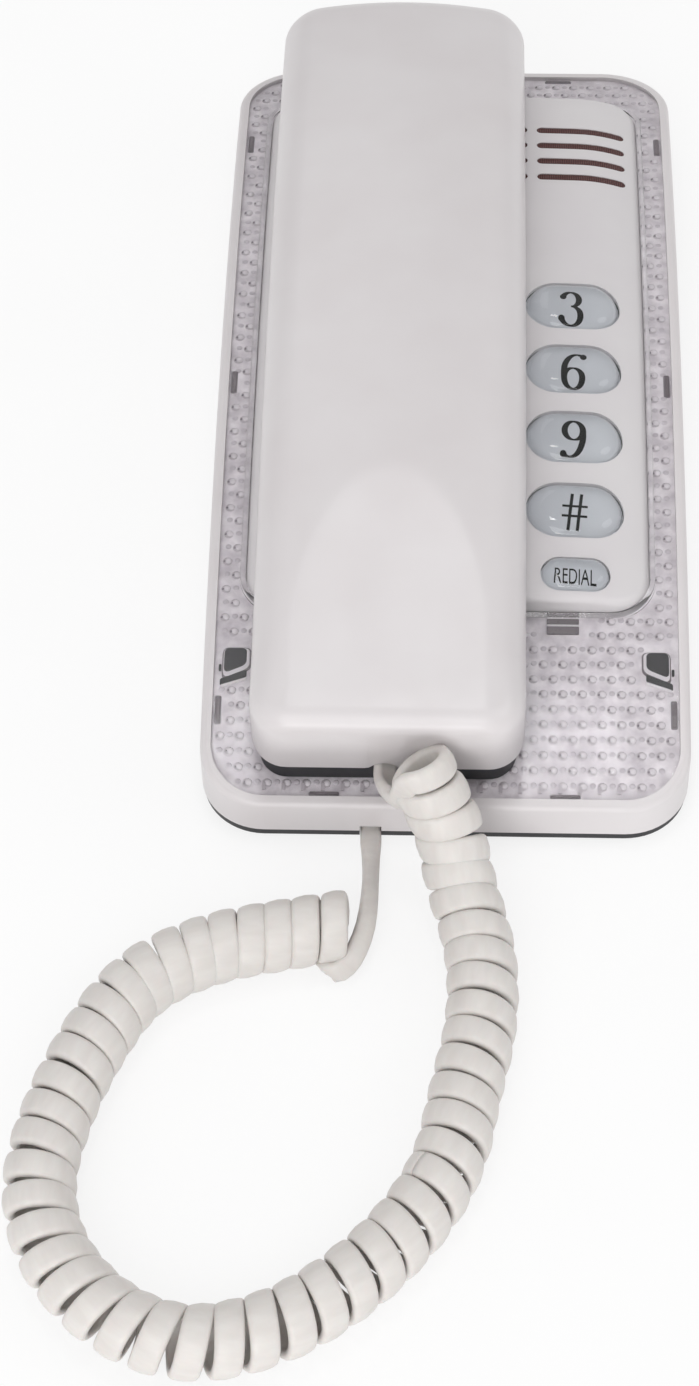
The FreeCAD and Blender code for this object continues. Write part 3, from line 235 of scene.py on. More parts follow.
@dataclass(frozen=True)
class Coating:
    """What every finish has: a name, two shades to mottle between and a range of roughness."""

    name: str
    dark: Colour
    light: Colour
    gloss: Pair = (0.34, 0.44)

    def paint(self, tree: ShaderTree, shade: Socket, sheen: Socket) -> None:
        """Mixes the shades by one pattern, from 0 to 1, and varies the roughness by another."""
        tree.fix(Base_Color=tree.tint(shade, self.dark, self.light),
                 Roughness=tree.span(sheen, *self.gloss))

    def emboss(self, tree: ShaderTree, relief: Socket, depth: float) -> None:
        """Raises the surface by a pattern, depth metres at its most."""
        tree.fix(Normal=tree.add("ShaderNodeBump", {"Distance": depth, "Height": relief})["Normal"])


@dataclass(frozen=True)
class MouldedPlastic(Coating):
    """An opaque moulded plastic with a fine spark-eroded grain."""

    refraction: float = 1.5
    mottle: float = 55.0
    patches: float = 140.0
    grain: float = 2600.0
    depth: float = 0.000006

    def write(self) -> Material:
        """Writes the material: slow mottling, varied gloss and the fine grain.

        Returns:
            The material.
        """
        tree = ShaderTree(self.name)
        self.paint(tree, tree.span(tree.noise(self.mottle, 3.0)), tree.noise(self.patches, 4.0))
        self.emboss(tree, tree.noise(self.grain, 1.0), self.depth)
        tree.fix(IOR=self.refraction)
        return tree.material


@dataclass(frozen=True)
class ClearPlastic(Coating):
    """A clear moulded plastic, faintly rippled and tinted."""

    gloss: Pair = (0.02, 0.06)
    ripple: float = 0.000010
    refraction: float = 1.49
    coat: float = 0.0
    coat_gloss: float = 0.06
    mottle: float = 90.0
    patches: float = 200.0
    flow: float = 160.0

    def write(self) -> Material:
        """Writes the material: full transmission, a slight tint and flow ripples.

        Returns:
            The material.
        """
        tree = ShaderTree(self.name)
        self.paint(tree, tree.span(tree.noise(self.mottle)), tree.noise(self.patches, 3.0))
        self.emboss(tree, tree.noise(self.flow), self.ripple)
        tree.fix(Transmission_Weight=1.0, IOR=self.refraction, Coat_Weight=self.coat,
                 Coat_Roughness=self.coat_gloss)
        return tree.material


@dataclass(frozen=True)
class CordSheath(Coating):
    """The soft sheath of the flat cord, with faint drawn lines along it."""

    gloss: Pair = (0.36, 0.5)
    clouds: float = 9.0
    cloud_stretch: Point = (0.4, 60.0, 1.0)
    lines: float = 26.0
    line_stretch: Point = (1.0, 8.0, 1.0)
    depth: float = 0.000012
    refraction: float = 1.48
    softness: float = 0.06
    soft_depth: float = 0.001

    def write(self) -> Material:
        """Writes the material on the cord's UV map: U round the section, V along it.

        Returns:
            The material.
        """
        tree = ShaderTree(self.name)
        cloud = tree.noise(self.clouds, 3.0, self.cloud_stretch, Place.UV)
        drawn = tree.noise(self.lines, 2.0, self.line_stretch, Place.UV)
        self.paint(tree, tree.span(cloud), drawn)
        self.emboss(tree, drawn, self.depth)
        tree.fix(IOR=self.refraction, Subsurface_Weight=self.softness, Subsurface_Scale=self.soft_depth)
        return tree.material


@dataclass(frozen=True)
class WovenCloth(Coating):
    """A thin woven dust cloth, with so many threads to a metre."""

    gloss: Pair = (0.75, 0.95)
    threads: float = 2200.0
    wave_scale: float = 0.314
    waver: float = 0.4
    brightest: float = 0.8
    patches: float = 300.0
    depth: float = 0.00008
    fuzz: float = 0.2

    def write(self) -> Material:
        """Writes the material: crossing threads over a cloudy colour.

        Returns:
            The material.
        """
        tree = ShaderTree(self.name)
        facts = {"Scale": self.threads * self.wave_scale, "Distortion": self.waver,
                 "Vector": tree.coordinates()}
        waves = [tree.add("ShaderNodeTexWave", facts, bands_direction=axis)["Fac"] for axis in ("X", "Y")]
        weave = tree.add("ShaderNodeMath", dict(enumerate(waves)), operation="MULTIPLY")[0]
        self.paint(tree, tree.span(weave, 0.0, 1.0, 0.0, self.brightest), tree.noise(self.patches))
        self.emboss(tree, weave, self.depth)
        tree.fix(Sheen_Weight=self.fuzz)
        return tree.material


@dataclass(frozen=True)
class DrawnSteel(Coating):
    """Plated steel with fine drawn lines."""

    gloss: Pair = (0.22, 0.4)
    streaks: float = 900.0
    streak_stretch: Point = (1.0, 1.0, 0.1)
    depth: float = 0.000008

    def write(self) -> Material:
        """Writes the material: metal with streaked colour and gloss.

        Returns:
            The material.
        """
        tree = ShaderTree(self.name)
        streak = tree.noise(self.streaks, 3.0, self.streak_stretch)
        self.paint(tree, tree.span(streak), streak)
        self.emboss(tree, streak, self.depth)
        tree.fix(Metallic=1.0)
        return tree.material


@dataclass(frozen=True)
class FloorPaper(Coating):
    """The pale paper sweep that the phone stands on."""

    gloss: Pair = (0.85, 0.95)
    mottle: float = 30.0
    patches: float = 400.0
    veil: float = 0.78
    rays: Tuple[str, ...] = ("Is Camera Ray", "Is Glossy Ray", "Is Transmission Ray")

    def write(self) -> Material:
        """Writes the material: matt paper that rays from the eye see mostly as white.

        Returns:
            The material.
        """
        tree = ShaderTree(self.name)
        self.paint(tree, tree.span(tree.noise(self.mottle)), tree.noise(self.patches))
        white = tree.add("ShaderNodeEmission", {"Strength": 1.0})["Emission"]
        seen = {0: tree.seen_by(self.rays), 1: self.veil}
        share = tree.add("ShaderNodeMath", seen, operation="MULTIPLY")[0]
        mix = tree.add("ShaderNodeMixShader", {"Fac": share, 1: tree.shader.outputs["BSDF"], 2: white})
        tree.feed(tree.output, {"Surface": mix["Shader"]})
        return tree.material


class Finish(Enum):
    """Every finish of the phone, and the floor's."""

    WHITE = MouldedPlastic("white_plastic", (217, 212, 213), (221, 217, 218), (0.28, 0.34))
    PANEL = MouldedPlastic("panel_plastic", (217, 213, 215), (221, 218, 219))
    DARK = MouldedPlastic("dark_plastic", (30, 30, 33), (42, 42, 45), (0.4, 0.55))
    CLEAR = ClearPlastic("clear_plate_plastic", (253, 252, 253), (255, 254, 255), (0.0, 0.02),
                         ripple=0.000002, refraction=1.12, coat=0.3, coat_gloss=0.22)
    BACKING = MouldedPlastic("plate_backing", (207, 201, 206), (247, 243, 246), (0.3, 0.4), mottle=330.0)
    # Pale beads for the real dimples; their pale colour paints each dimple's bright side as a painted
    # highlight.
    DOT = MouldedPlastic("dot_highlight_bead", (226, 221, 225), (238, 234, 237), (0.1, 0.2))
    # Grey discs under the beads, shifted left and down: painted shade on each dimple's far side.
    DOT_PAINTED_SHADE = MouldedPlastic("dot_painted_shade", (188, 181, 186), (204, 197, 202), (0.3, 0.4))
    # Its grey paints a small shadow spot low left of each dimple, and also colours the tabs' feet.
    DOT_SPECK = MouldedPlastic("dot_speck", (130, 123, 129), (156, 149, 154), (0.3, 0.4))
    # Faint grey dots between the others: painted reflections of the dimples.
    DOT_PAINTED_REFLECTION = MouldedPlastic("dot_painted_reflection", (200, 194, 199), (214, 208, 213), (0.3, 0.4))
    # Pale glossy grey that paints highlights on the clear catches and clip.
    PAINTED_HIGHLIGHT = MouldedPlastic("painted_highlight_plastic", (226, 222, 225), (238, 235, 237), (0.05, 0.1))
    LIP = ClearPlastic("lip_clear", (249, 248, 249), (254, 253, 254), (0.02, 0.08),
                       ripple=0.00006, refraction=1.3, coat=0.6, coat_gloss=0.1)
    # Dark grey that paints shade: the tabs in their slots, the catches' outer frames and the clip's dark
    # bars.
    PAINTED_SHADE_GREY = MouldedPlastic("painted_shade_grey", (104, 96, 100), (132, 123, 128), (0.25, 0.4))
    KEY = ClearPlastic("key_plastic", (248, 250, 252), (250, 252, 254), (0.01, 0.03),
                       ripple=0.00001, refraction=1.33, coat=0.8, coat_gloss=0.05)
    LABEL = MouldedPlastic("key_label", (224, 226, 231), (232, 234, 238), (0.5, 0.65), refraction=1.15)
    INK = MouldedPlastic("black_ink", (10, 9, 10), (20, 19, 20), (0.4, 0.6), refraction=1.1)
    CORD = CordSheath("cord_sheath", (216, 211, 207), (224, 220, 216))
    CLOTH = WovenCloth("speaker_cloth", (60, 25, 25), (104, 55, 50))
    STEEL = DrawnSteel("plated_steel", (150, 150, 152), (196, 196, 198))
    RUBBER = MouldedPlastic("foot_rubber", (30, 30, 31), (44, 44, 45), (0.7, 0.9))
    MAT = MouldedPlastic("mat_rubber", (150, 156, 162), (168, 173, 178), (0.6, 0.8))
    BOARD = MouldedPlastic("board_laminate", (52, 84, 58), (70, 104, 72), (0.35, 0.5))
    SOCKET = MouldedPlastic("socket_plastic", (24, 24, 26), (36, 36, 38), (0.35, 0.5))
    CAPSULE = DrawnSteel("capsule_metal", (120, 121, 124), (160, 161, 164), (0.35, 0.5))
    PLUG = ClearPlastic("plug_plastic", (226, 228, 230), (238, 240, 242))
    FLOOR = FloorPaper("floor_paper", (249, 249, 249), (252, 252, 252))

    @cached_property
    def material(self) -> Material:
        """The finish's material, written when it is first asked for."""
        return self.value.write()


SLOT_FINISHES = {"white_shell": Finish.WHITE, "clear_plate": Finish.CLEAR, "key_clear": Finish.KEY,
                 "dark_shell": Finish.DARK, "foot_rubber": Finish.RUBBER, "mat_rubber": Finish.MAT,
                 "screw_steel": Finish.STEEL, "weight_steel": Finish.STEEL, "board": Finish.BOARD,
                 "capsule": Finish.CAPSULE, "socket": Finish.SOCKET, "plug": Finish.PLUG,
                 "cord": Finish.CORD}


def show(name: str, data: Any) -> Piece:
    """Puts a mesh, curve, lamp or camera in the scene as an object at the origin.

    Args:
        name: The object's name.
        data: What it shows.

    Returns:
        The object.
    """
    made = bpy.data.objects.new(name, data)
    bpy.context.scene.collection.objects.link(made)
    return made


def evaluated(holder: Piece) -> bpy.types.Mesh:
    """Makes what an object's curve or modifiers give a plain mesh."""
    return bpy.data.meshes.new_from_object(holder.evaluated_get(bpy.context.evaluated_depsgraph_get()))


def points_of(mesh: bpy.types.Mesh) -> np.ndarray:
    """Reads a mesh's points.

    Args:
        mesh: The mesh.

    Returns:
        One row for each point.
    """
    points = np.zeros(len(mesh.vertices) * 3)
    mesh.vertices.foreach_get("co", points)
    return points.reshape(-1, 3)


def crisp(piece: Piece, angle: float) -> Piece:
    """Marks edges sharper than an angle, in degrees, so that they shade as edges."""
    piece.data.set_sharp_from_angle(angle=math.radians(angle))
    return piece


def settle(piece: Piece, body: str, node: Optional[str] = None) -> Piece:
    """Ties a piece to the frame.

    Args:
        piece: The piece.
        body: The body that it rides on.
        node: The CAD node that it stands for.

    Returns:
        The piece.
    """
    if node:
        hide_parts(node)
    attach(piece, body)
    return piece


class Skin:
    """Collects the points and faces of one piece."""

    def __init__(self, name: str, *finishes: Finish) -> None:
        """Starts an empty piece.

        Args:
            name: The piece's name.
            finishes: Its finishes in order.
        """
        self.name = name
        self.finishes = finishes
        self.points: List[np.ndarray] = []
        self.faces: List[Tuple[int, ...]] = []
        self.slots: List[int] = []
        self.count = 0

    def add(self, points: np.ndarray, faces: Iterable[Sequence[int]], slot: int = 0) -> None:
        """Adds a batch of points with the faces between them.

        Args:
            points: One row for each point.
            faces: Indices into those rows.
            slot: Which of the piece's finishes the faces take.
        """
        for face in faces:
            self.faces.append(tuple(self.count + i for i in face))
            self.slots.append(slot)
        self.points.append(np.asarray(points, float).reshape(-1, 3))
        self.count += len(self.points[-1])

    def loft(self, rings: Sequence[np.ndarray], around: bool = False, slot: int = 0,
             caps: bool = False) -> None:
        """Adds a skin through closed rings of equally many points.

        Args:
            rings: The rings in order, counterclockwise seen from outside and above.
            around: Whether the last ring joins the first.
            slot: Which of the piece's finishes it takes.
            caps: Whether a face closes each end.
        """
        size = len(rings[0])
        faces: List[Sequence[int]] = []
        for row in range(len(rings) if around else len(rings) - 1):
            low, high = row * size, (row + 1) % len(rings) * size
            faces += [(low + i, low + (i + 1) % size, high + (i + 1) % size, high + i) for i in range(size)]
        if caps:
            last = (len(rings) - 1) * size
            faces += [tuple(reversed(range(size))), tuple(range(last, last + size))]
        self.add(np.concatenate(rings), faces, slot)

    def prism(self, flat: np.ndarray, low: float, high: float) -> None:
        """Adds an upright block over a flat outline, from one height to another."""
        self.loft([np.column_stack([flat, np.full(len(flat), z)]) for z in (low, high)], caps=True)

    def finish(self, smooth: bool = True, merge: float = 1e-7, edge: float = 0.0) -> Piece:
        """Makes the piece an object at the origin.

        Args:
            smooth: Whether its faces shade smoothly.
            merge: Points nearer than this become one.
            edge: Angle in degrees past which an edge shades as one, or 0 for none.

        Returns:
            The object, its normals outward.
        """
        mesh = bpy.data.meshes.new(self.name)
        mesh.from_pydata(np.concatenate(self.points).tolist(), [], self.faces)
        for finish in self.finishes:
            mesh.materials.append(finish.material)
        mesh.polygons.foreach_set("material_index", self.slots)
        made = bmesh.new()
        made.from_mesh(mesh)
        bmesh.ops.remove_doubles(made, verts=made.verts, dist=merge)
        bmesh.ops.recalc_face_normals(made, faces=made.faces)
        made.to_mesh(mesh)
        made.free()
        mesh.polygons.foreach_set("use_smooth", [smooth] * len(mesh.polygons))
        mesh.update()
        piece = show(self.name, mesh)
        return crisp(piece, edge) if edge else piece


def outline(low: Sequence[float], high: Sequence[float], radii: Pair, inset: float = 0.0, corner: int = 8,
            sides: Tuple[int, int] = (8, 24)) -> np.ndarray:
    """Points of a rectangle with rounded corners, counterclockwise from its low left.

    Args:
        low: Its least X and Y.
        high: Its greatest X and Y.
        radii: Corner radius at the low end and at the top end.
        inset: How far inside that outline the points lie.
        corner: Steps round each corner.
        sides: Steps along the X sides and along the Y sides.

    Returns:
        One row of X and Y for each point.
    """
    x0, y0, x1, y1 = low[0] + inset, low[1] + inset, high[0] - inset, high[1] - inset
    r_low, r_top = (max(radius - inset, 0.0) for radius in radii)
    corners = [((x1 - r_low, y0 + r_low), r_low, -90.0), ((x1 - r_top, y1 - r_top), r_top, 0.0),
               ((x0 + r_top, y1 - r_top), r_top, 90.0), ((x0 + r_low, y0 + r_low), r_low, 180.0)]
    arcs = [Arc(centre, (radius, radius), start, start + 90.0).points(corner + 1)
            for centre, radius, start in corners]
    points = []
    for number, arc in enumerate(arcs):
        before = arcs[number - 1][-1]
        shares = np.linspace(0.0, 1.0, sides[number % 2] + 1)[1:-1, None]
        points += [before + (arc[0] - before) * shares, arc]
    return np.concatenate(points)


def pill(length: float, width: float, inset: float = 0.0, steps: int = 14, run: int = 8) -> np.ndarray:
    """Points of a bar with round ends, counterclockwise.

    Args:
        length: Its whole length along X.
        width: Its width along Y.
        inset: How far inside that outline the points lie.
        steps: Steps round each end.
        run: Steps along each straight side.

    Returns:
        One row of X and Y for each point.
    """
    reach, radius = (length - width) / 2.0, max(width / 2.0 - inset, 0.0)
    points = []
    for side, start in ((1.0, -90.0), (-1.0, 90.0)):
        points.append(Arc((side * reach, 0.0), (radius, radius), start, start + 180.0).points(steps + 1))
        xs = np.linspace(side * reach, -side * reach, run + 1)[1:-1]
        points.append(np.stack([xs, np.full(len(xs), side * radius)], 1))
    return np.concatenate(points)


def unit(vector: np.ndarray) -> np.ndarray:
    """Gives a vector, or each row of several, a length of one."""
    return vector / np.linalg.norm(vector, axis=-1, keepdims=True)


def milestones(points: np.ndarray) -> np.ndarray:
    """Measures how far along a line of points each of them lies."""
    return np.concatenate([[0.0], np.cumsum(np.linalg.norm(np.diff(points, axis=0), axis=1))])


def spline_points(routes: Sequence[Sequence[Point]], resolution: int) -> List[np.ndarray]:
    """Reads points along smooth splines.

    Args:
        routes: Control points of each spline, equally many in each.
        resolution: Points to a control point.

    Returns:
        The points along each spline.
    """
    curve = bpy.data.curves.new("route", "CURVE")
    curve.dimensions = "3D"
    for route in routes:
        spline = curve.splines.new("NURBS")
        spline.points.add(len(route) - 1)
        for point, place in zip(spline.points, route):
            point.co = (*place, 1.0)
        spline.order_u = 3
        spline.use_endpoint_u = True
        spline.resolution_u = resolution
    holder = show("route", curve)
    mesh = evaluated(holder)
    points = points_of(mesh)
    bpy.data.batch_remove((holder, curve, mesh))
    return np.split(points, len(routes))


def spaced(points: np.ndarray, gaps: np.ndarray) -> np.ndarray:
    """Takes points along a line of points, at steps in proportion to given gaps.

    Args:
        points: The line.
        gaps: The gap before each point taken; the first counts for nothing.

    Returns:
        The points taken, both ends among them.
    """
    along = milestones(points)
    steps = np.concatenate([[0.0], np.cumsum(gaps[1:])])
    steps *= along[-1] / steps[-1]
    return np.stack([np.interp(steps, along, points[:, axis]) for axis in range(3)], 1)


@dataclass(frozen=True)
class Arc:
    """Part of an ellipse, from one angle to another in degrees."""

    centre: Pair
    radii: Pair
    start: float
    end: float
    step: float = 11.0

    def points(self, count: Optional[int] = None) -> np.ndarray:
        """Places points along it.

        Args:
            count: How many, or None for one to each step.

        Returns:
            One row of X and Y for each point.
        """
        count = count or max(4, int(abs(self.end - self.start) / self.step))
        angles = np.radians(np.linspace(self.start, self.end, count))
        return np.stack([self.centre[0] + self.radii[0] * np.cos(angles),
                         self.centre[1] + self.radii[1] * np.sin(angles)], 1)


@dataclass(frozen=True)
class Arch:
    """The bend about one cross axis that the base's face and the handset share."""

    top: float
    half_length: float
    drop: float = 0.011935

    @property
    def radius(self) -> float:
        """Radius of the bend at the rim."""
        return (self.half_length ** 2 + self.drop ** 2) / (2.0 * self.drop)

    def height(self, y: Any, level: Any) -> Any:
        """Height above the table at y, a level above the rim square to the bend."""
        return self.top - self.radius + np.sqrt((self.radius + level) ** 2 - np.square(y))

    def raised(self, flat: np.ndarray, level: Any) -> np.ndarray:
        """Lays flat points on the bend, at one level or one for each point."""
        return np.column_stack([flat, self.height(flat[:, 1], level)])

    def lean(self, y: np.ndarray) -> np.ndarray:
        """Angles in radians that the bend leans by at y, about X."""
        return -np.arcsin(y / self.radius)


@dataclass(frozen=True)
class PanelTop:
    """The keypad panel's top across the phone: nearly flat, with round shoulders."""

    rise: float = 0.0040
    crown: float = 0.75
    shoulder_start: float = 0.0255
    shoulder_round: float = 0.0250

    def level(self, x: Any) -> Any:
        """Level above the rim at x."""
        past = np.maximum(np.abs(x) - self.shoulder_start, 0.0)
        return self.rise - np.square(x) / (2.0 * self.crown) - past ** 2 / (2.0 * self.shoulder_round)


@dataclass(frozen=True)
class PhotoCamera:
    """The photograph's camera, fitted to the phone's edges."""

    image: Tuple[int, int] = (699, 1386)
    focal: float = 3554.7
    elevation: float = 53.843
    azimuth: float = -2.810
    roll: float = -1.5445
    place: Point = (0.0012029, -0.459127, 0.5440991)
    sensor: float = 36.0
    clip_start: float = 0.01

    def build(self) -> None:
        """Makes the camera and sets it as the scene's own."""
        data = bpy.data.cameras.new("photo_camera")
        data.sensor_fit = "VERTICAL"
        data.sensor_height = self.sensor
        data.lens = self.focal / self.image[1] * self.sensor
        data.clip_start = self.clip_start
        tilt, turn, roll = (math.radians(a) for a in (self.elevation, self.azimuth, self.roll))
        ahead = Vector((math.sin(turn) * math.cos(tilt), math.cos(turn) * math.cos(tilt), -math.sin(tilt)))
        right = Vector((math.cos(turn), -math.sin(turn), 0.0))
        above = right.cross(ahead)
        across = right * math.cos(roll) + above * math.sin(roll)
        upward = above * math.cos(roll) - right * math.sin(roll)
        camera = show("photo_camera", data)
        camera.matrix_world = (Matrix.Translation(self.place)
                               @ Matrix((across, upward, -ahead)).transposed().to_4x4())
        bpy.context.scene.camera = camera


@dataclass(frozen=True)
class Softbox:
    """One broad lamp."""

    name: str
    place: Point
    aim: Point
    size: float
    power: float

    def build(self) -> None:
        """Makes the lamp, turned to what it lights."""
        data = bpy.data.lights.new(self.name, "AREA")
        data.shape = "DISK"
        data.size = self.size
        data.energy = self.power
        turn = (Vector(self.aim) - Vector(self.place)).to_track_quat("-Z", "Y")
        show(self.name, data).matrix_world = Matrix.Translation(self.place) @ turn.to_matrix().to_4x4()


@dataclass
class Studio:
    """Floor, lamps, surround and camera."""

    floor_size: float = 6.0
    surround: float = 0.58
    boxes: Tuple[Softbox, ...] = (
        Softbox("front_softbox", (-0.35, -1.2, 0.95), (0.0, -0.05, 0.0), 1.1, 6.8),
        Softbox("low_softbox", (-0.1, -1.1, 0.16), (0.0, -0.1, 0.02), 0.4, 2.0),
        Softbox("right_softbox", (1.2, -0.1, 1.0), (0.0, 0.0, 0.0), 0.9, 2.7),
        Softbox("overhead_softbox", (-0.02, 0.215, 1.62), (-0.01, -0.06, 0.0), 0.28, 1.9),
        Softbox("back_softbox", (-0.4, 1.3, 1.2), (0.0, 0.0, 0.0), 1.0, 1.7),
    )

    def build(self) -> None:
        """Builds the studio and sets plain colour handling."""
        bpy.context.scene.view_settings.view_transform = "Standard"
        PhotoCamera().build()
        for box in self.boxes:
            box.build()
        self.build_floor()
        self.build_surround()

    def build_floor(self) -> None:
        """Lays the paper floor."""
        half = self.floor_size / 2.0
        skin = Skin("floor", Finish.FLOOR)
        skin.add(np.array([(-half, -half, 0.0), (half, -half, 0.0), (half, half, 0.0), (-half, half, 0.0)]),
                 [(0, 1, 2, 3)])
        skin.finish(smooth=False)

    def build_surround(self) -> None:
        """Makes the soft white surround, white itself to the eye."""
        world = bpy.data.worlds.new("surround")
        world.use_nodes = True
        tree = NodeTree(world.node_tree)
        glow, white = (tree.add("ShaderNodeBackground", {"Color": (1.0, 1.0, 1.0, 1.0), "Strength": power})
                       for power in (self.surround, 1.0))
        seen = tree.seen_by(["Is Camera Ray"])
        mix = tree.add("ShaderNodeMixShader", {"Fac": seen, 1: glow["Background"], 2: white["Background"]})
        tree.add("ShaderNodeOutputWorld", {"Surface": mix["Shader"]})
        bpy.context.scene.world = world


@dataclass
class CurlyCord:
    """The flat curly cord from the handset to the base, with its two plain leads."""

    width: float = 0.0051
    lead_width: float = 0.0046
    # Turns past the last curl, and the lead's width there.
    base_widths: Tuple[Pair, ...] = (
        (0.0, 0.0046), (0.25, 0.0048), (0.50, 0.0036), (0.5625, 0.0032), (0.615, 0.0032), (0.645, 0.0039))
    thickness: float = 0.0020
    edge_round: float = 0.0008
    crown: float = 0.00022
    crown_shares: Tuple[float, ...] = (0.85, 0.0, -0.85)
    edge_steps: int = 7
    radius: float = 0.00535
    turns: float = 47.375
    per_turn: int = 16
    start_angle: float = 115.0
    sway: float = 0.00012
    # Share, rate and phase of each wave in the sway.
    sway_waves: Tuple[Point, ...] = ((1.0, 2.3, 0.0), (0.6, 5.1, 1.0))
    taper_turns: float = 0.7
    tight_from: Pair = (0.74, 0.88)
    tight_share: float = 0.13
    parting_turn: float = 15.0
    blend_ends: Pair = (-0.098, -0.158)
    route_steps: int = 24
    line_steps: int = 2
    route: Tuple[Point, ...] = (
        (-0.0050, -0.0975, 0.0276), (0.0007, -0.1015, 0.0168), (0.0028, -0.1096, 0.0088),
        (0.0071, -0.1234, 0.0066), (0.0073, -0.1382, 0.0066), (0.0042, -0.1523, 0.0066),
        (0.0018, -0.1665, 0.0066), (-0.0053, -0.1790, 0.0066), (-0.0151, -0.1895, 0.0066),
        (-0.0271, -0.1977, 0.0066), (-0.0415, -0.2012, 0.0066), (-0.0546, -0.1963, 0.0066),
        (-0.0651, -0.1850, 0.0066), (-0.0688, -0.1716, 0.0066), (-0.0663, -0.1574, 0.0066),
        (-0.0613, -0.1436, 0.0066), (-0.0541, -0.1306, 0.0066), (-0.0420, -0.1236, 0.0066),
        (-0.0297, -0.1207, 0.0066), (-0.0182, -0.1184, 0.0066))
    # Places of each lead, with the way that the ribbon's outer face looks there.
    handset_lead: Tuple[Tuple[Point, Point], ...] = (
        ((-0.0104, -0.0792, 0.0192), (0.0, 0.33, -0.94)), ((-0.0104, -0.0845, 0.0174), (-0.3, 0.3, -0.9)),
        ((-0.0109, -0.0910, 0.0157), (-0.7, 0.0, -0.7)), ((-0.0113, -0.0943, 0.0162), (-0.9, -0.2, -0.4)),
        ((-0.0102, -0.0978, 0.0184), (-0.85, -0.5, -0.3)), ((-0.0076, -0.1012, 0.0210), (-0.5, -0.85, 0.0)))
    base_lead: Tuple[Tuple[Point, Point], ...] = (
        ((-0.0190, -0.1150, 0.0030), (0.0, 0.6, -0.8)), ((-0.0203, -0.1195, 0.0018), (0.0, -0.1, -1.0)),
        ((-0.0209, -0.1236, 0.0024), (-0.25, -0.8, -0.5)), ((-0.0194, -0.1264, 0.0030), (0.1, -1.0, 0.15)),
        ((-0.0170, -0.1252, 0.0037), (0.35, -0.85, 0.45)), ((-0.0152, -0.1220, 0.0043), (0.42, -0.5, 0.76)),
        ((-0.0137, -0.1172, 0.0047), (0.5, -0.15, 0.86)), ((-0.0132, -0.1100, 0.0038), (0.62, 0.0, 0.78)),
        ((-0.0132, -0.1040, 0.0024), (0.5, 0.0, 0.86)), ((-0.0134, -0.0970, 0.0012), (0.0, 0.0, 1.0)),
        ((-0.0135, -0.0920, 0.0012), (0.0, 0.0, 1.0)), ((-0.0135, -0.0870, 0.0032), (0.0, 0.0, 1.0)),
        ((-0.0135, -0.0810, 0.0060), (0.0, 0.0, 1.0)), ((-0.0135, -0.0742, 0.0062), (0.0, 0.0, 1.0)))

    def helix(self) -> Tuple[np.ndarray, np.ndarray]:
        """Winds the curls round the route, to the left.

        Returns:
            Points of the ribbon's middle and the outward way at each.
        """
        count = int(round(self.turns * self.per_turn)) + 1
        rise = np.clip((np.linspace(0.0, 1.0, count) - self.tight_from[0])
                       / (self.tight_from[1] - self.tight_from[0]), 0.0, 1.0)
        axis = spaced(spline_points([self.route], self.route_steps)[0], 1.0 - self.tight_share * rise)
        ahead = unit(np.gradient(axis, axis=0))
        side = unit(np.array((1.0, 0.0, 0.0)) - ahead[0] * ahead[0][0])
        points, ways = [], []
        for number in range(count):
            side = unit(side - ahead[number] * np.dot(side, ahead[number]))
            turn = number / self.per_turn
            angle = math.radians(self.start_angle) - 2.0 * math.pi * turn
            way = side * math.cos(angle) + np.cross(ahead[number], side) * math.sin(angle)
            slip = self.sway * sum(share * math.sin(rate * turn + phase)
                                   for share, rate, phase in self.sway_waves)
            points.append(axis[number] + way * self.radius + ahead[number] * slip)
            ways.append(way)
        return np.array(points), np.array(ways)

    def line(self) -> Tuple[np.ndarray, np.ndarray, np.ndarray]:
        """Draws the whole cord as one smooth line from plug to plug.

        Returns:
            Points along the line, the outward way at each, and the curls passed there.
        """
        points, ways = self.helix()
        (lead_in, sides_in), (lead_out, sides_out) = (
            np.array(lead).transpose(1, 0, 2) for lead in (self.handset_lead, self.base_lead))
        places = np.concatenate([lead_in, points, lead_out])
        rail = places + unit(np.concatenate([sides_in, ways, sides_out])) * self.thickness
        path, edge = spline_points([places.tolist(), rail.tolist()], self.line_steps)
        control = np.linspace(0.0, len(places) - 1.0, len(path))
        return path, edge - path, (control - len(lead_in)) / self.per_turn

    def section(self, width: float) -> np.ndarray:
        """Draws the ribbon's section: flat, round at the edges, slightly crowned outside.

        Args:
            width: Its width there.

        Returns:
            Points across the ribbon and outward from its middle.
        """
        reach, height = width / 2.0 - self.edge_round, self.thickness / 2.0
        points = []
        for start, side in ((-90.0, 1.0), (90.0, -1.0)):
            edge = Arc((side * reach, 0.0), (self.edge_round, height), start, start + 180.0)
            points += edge.points(self.edge_steps).tolist()
            swell = self.crown if side > 0 else 0.0
            for share in self.crown_shares:
                points.append((side * share * reach, side * (height + swell * (1.0 - share * share))))
        return np.array(points)

    def sweep(self, name: str, path: np.ndarray, ways: np.ndarray, turns: np.ndarray) -> Piece:
        """Runs the section along a stretch of the line.

        Args:
            name: The piece's name.
            path: Points of the stretch.
            ways: The outward way at each.
            turns: Curls passed at each.

        Returns:
            The piece, with U round the section and V along the cord, in metres.
        """
        ahead = unit(np.gradient(path, axis=0))
        ways = unit(ways - ahead * np.sum(ways * ahead, axis=1, keepdims=True))
        across = np.cross(ahead, ways)
        fade = np.clip(np.minimum(turns, self.turns - turns) / self.taper_turns, 0.0, 1.0)
        widths = self.lead_width + (self.width - self.lead_width) * fade
        past = turns - self.turns
        widths = np.where(past > 0.0, np.interp(past, *np.transpose(self.base_widths)), widths)
        rings = []
        for place, out, cross, width in zip(path, ways, across, widths):
            flat = self.section(float(width))
            rings.append(place + flat[:, :1] * cross + flat[:, 1:] * out)
        skin = Skin(name, Finish.CORD)
        skin.loft(rings, caps=True)
        piece = skin.finish()
        self.unwrap(piece, len(rings[0]), path)
        return piece

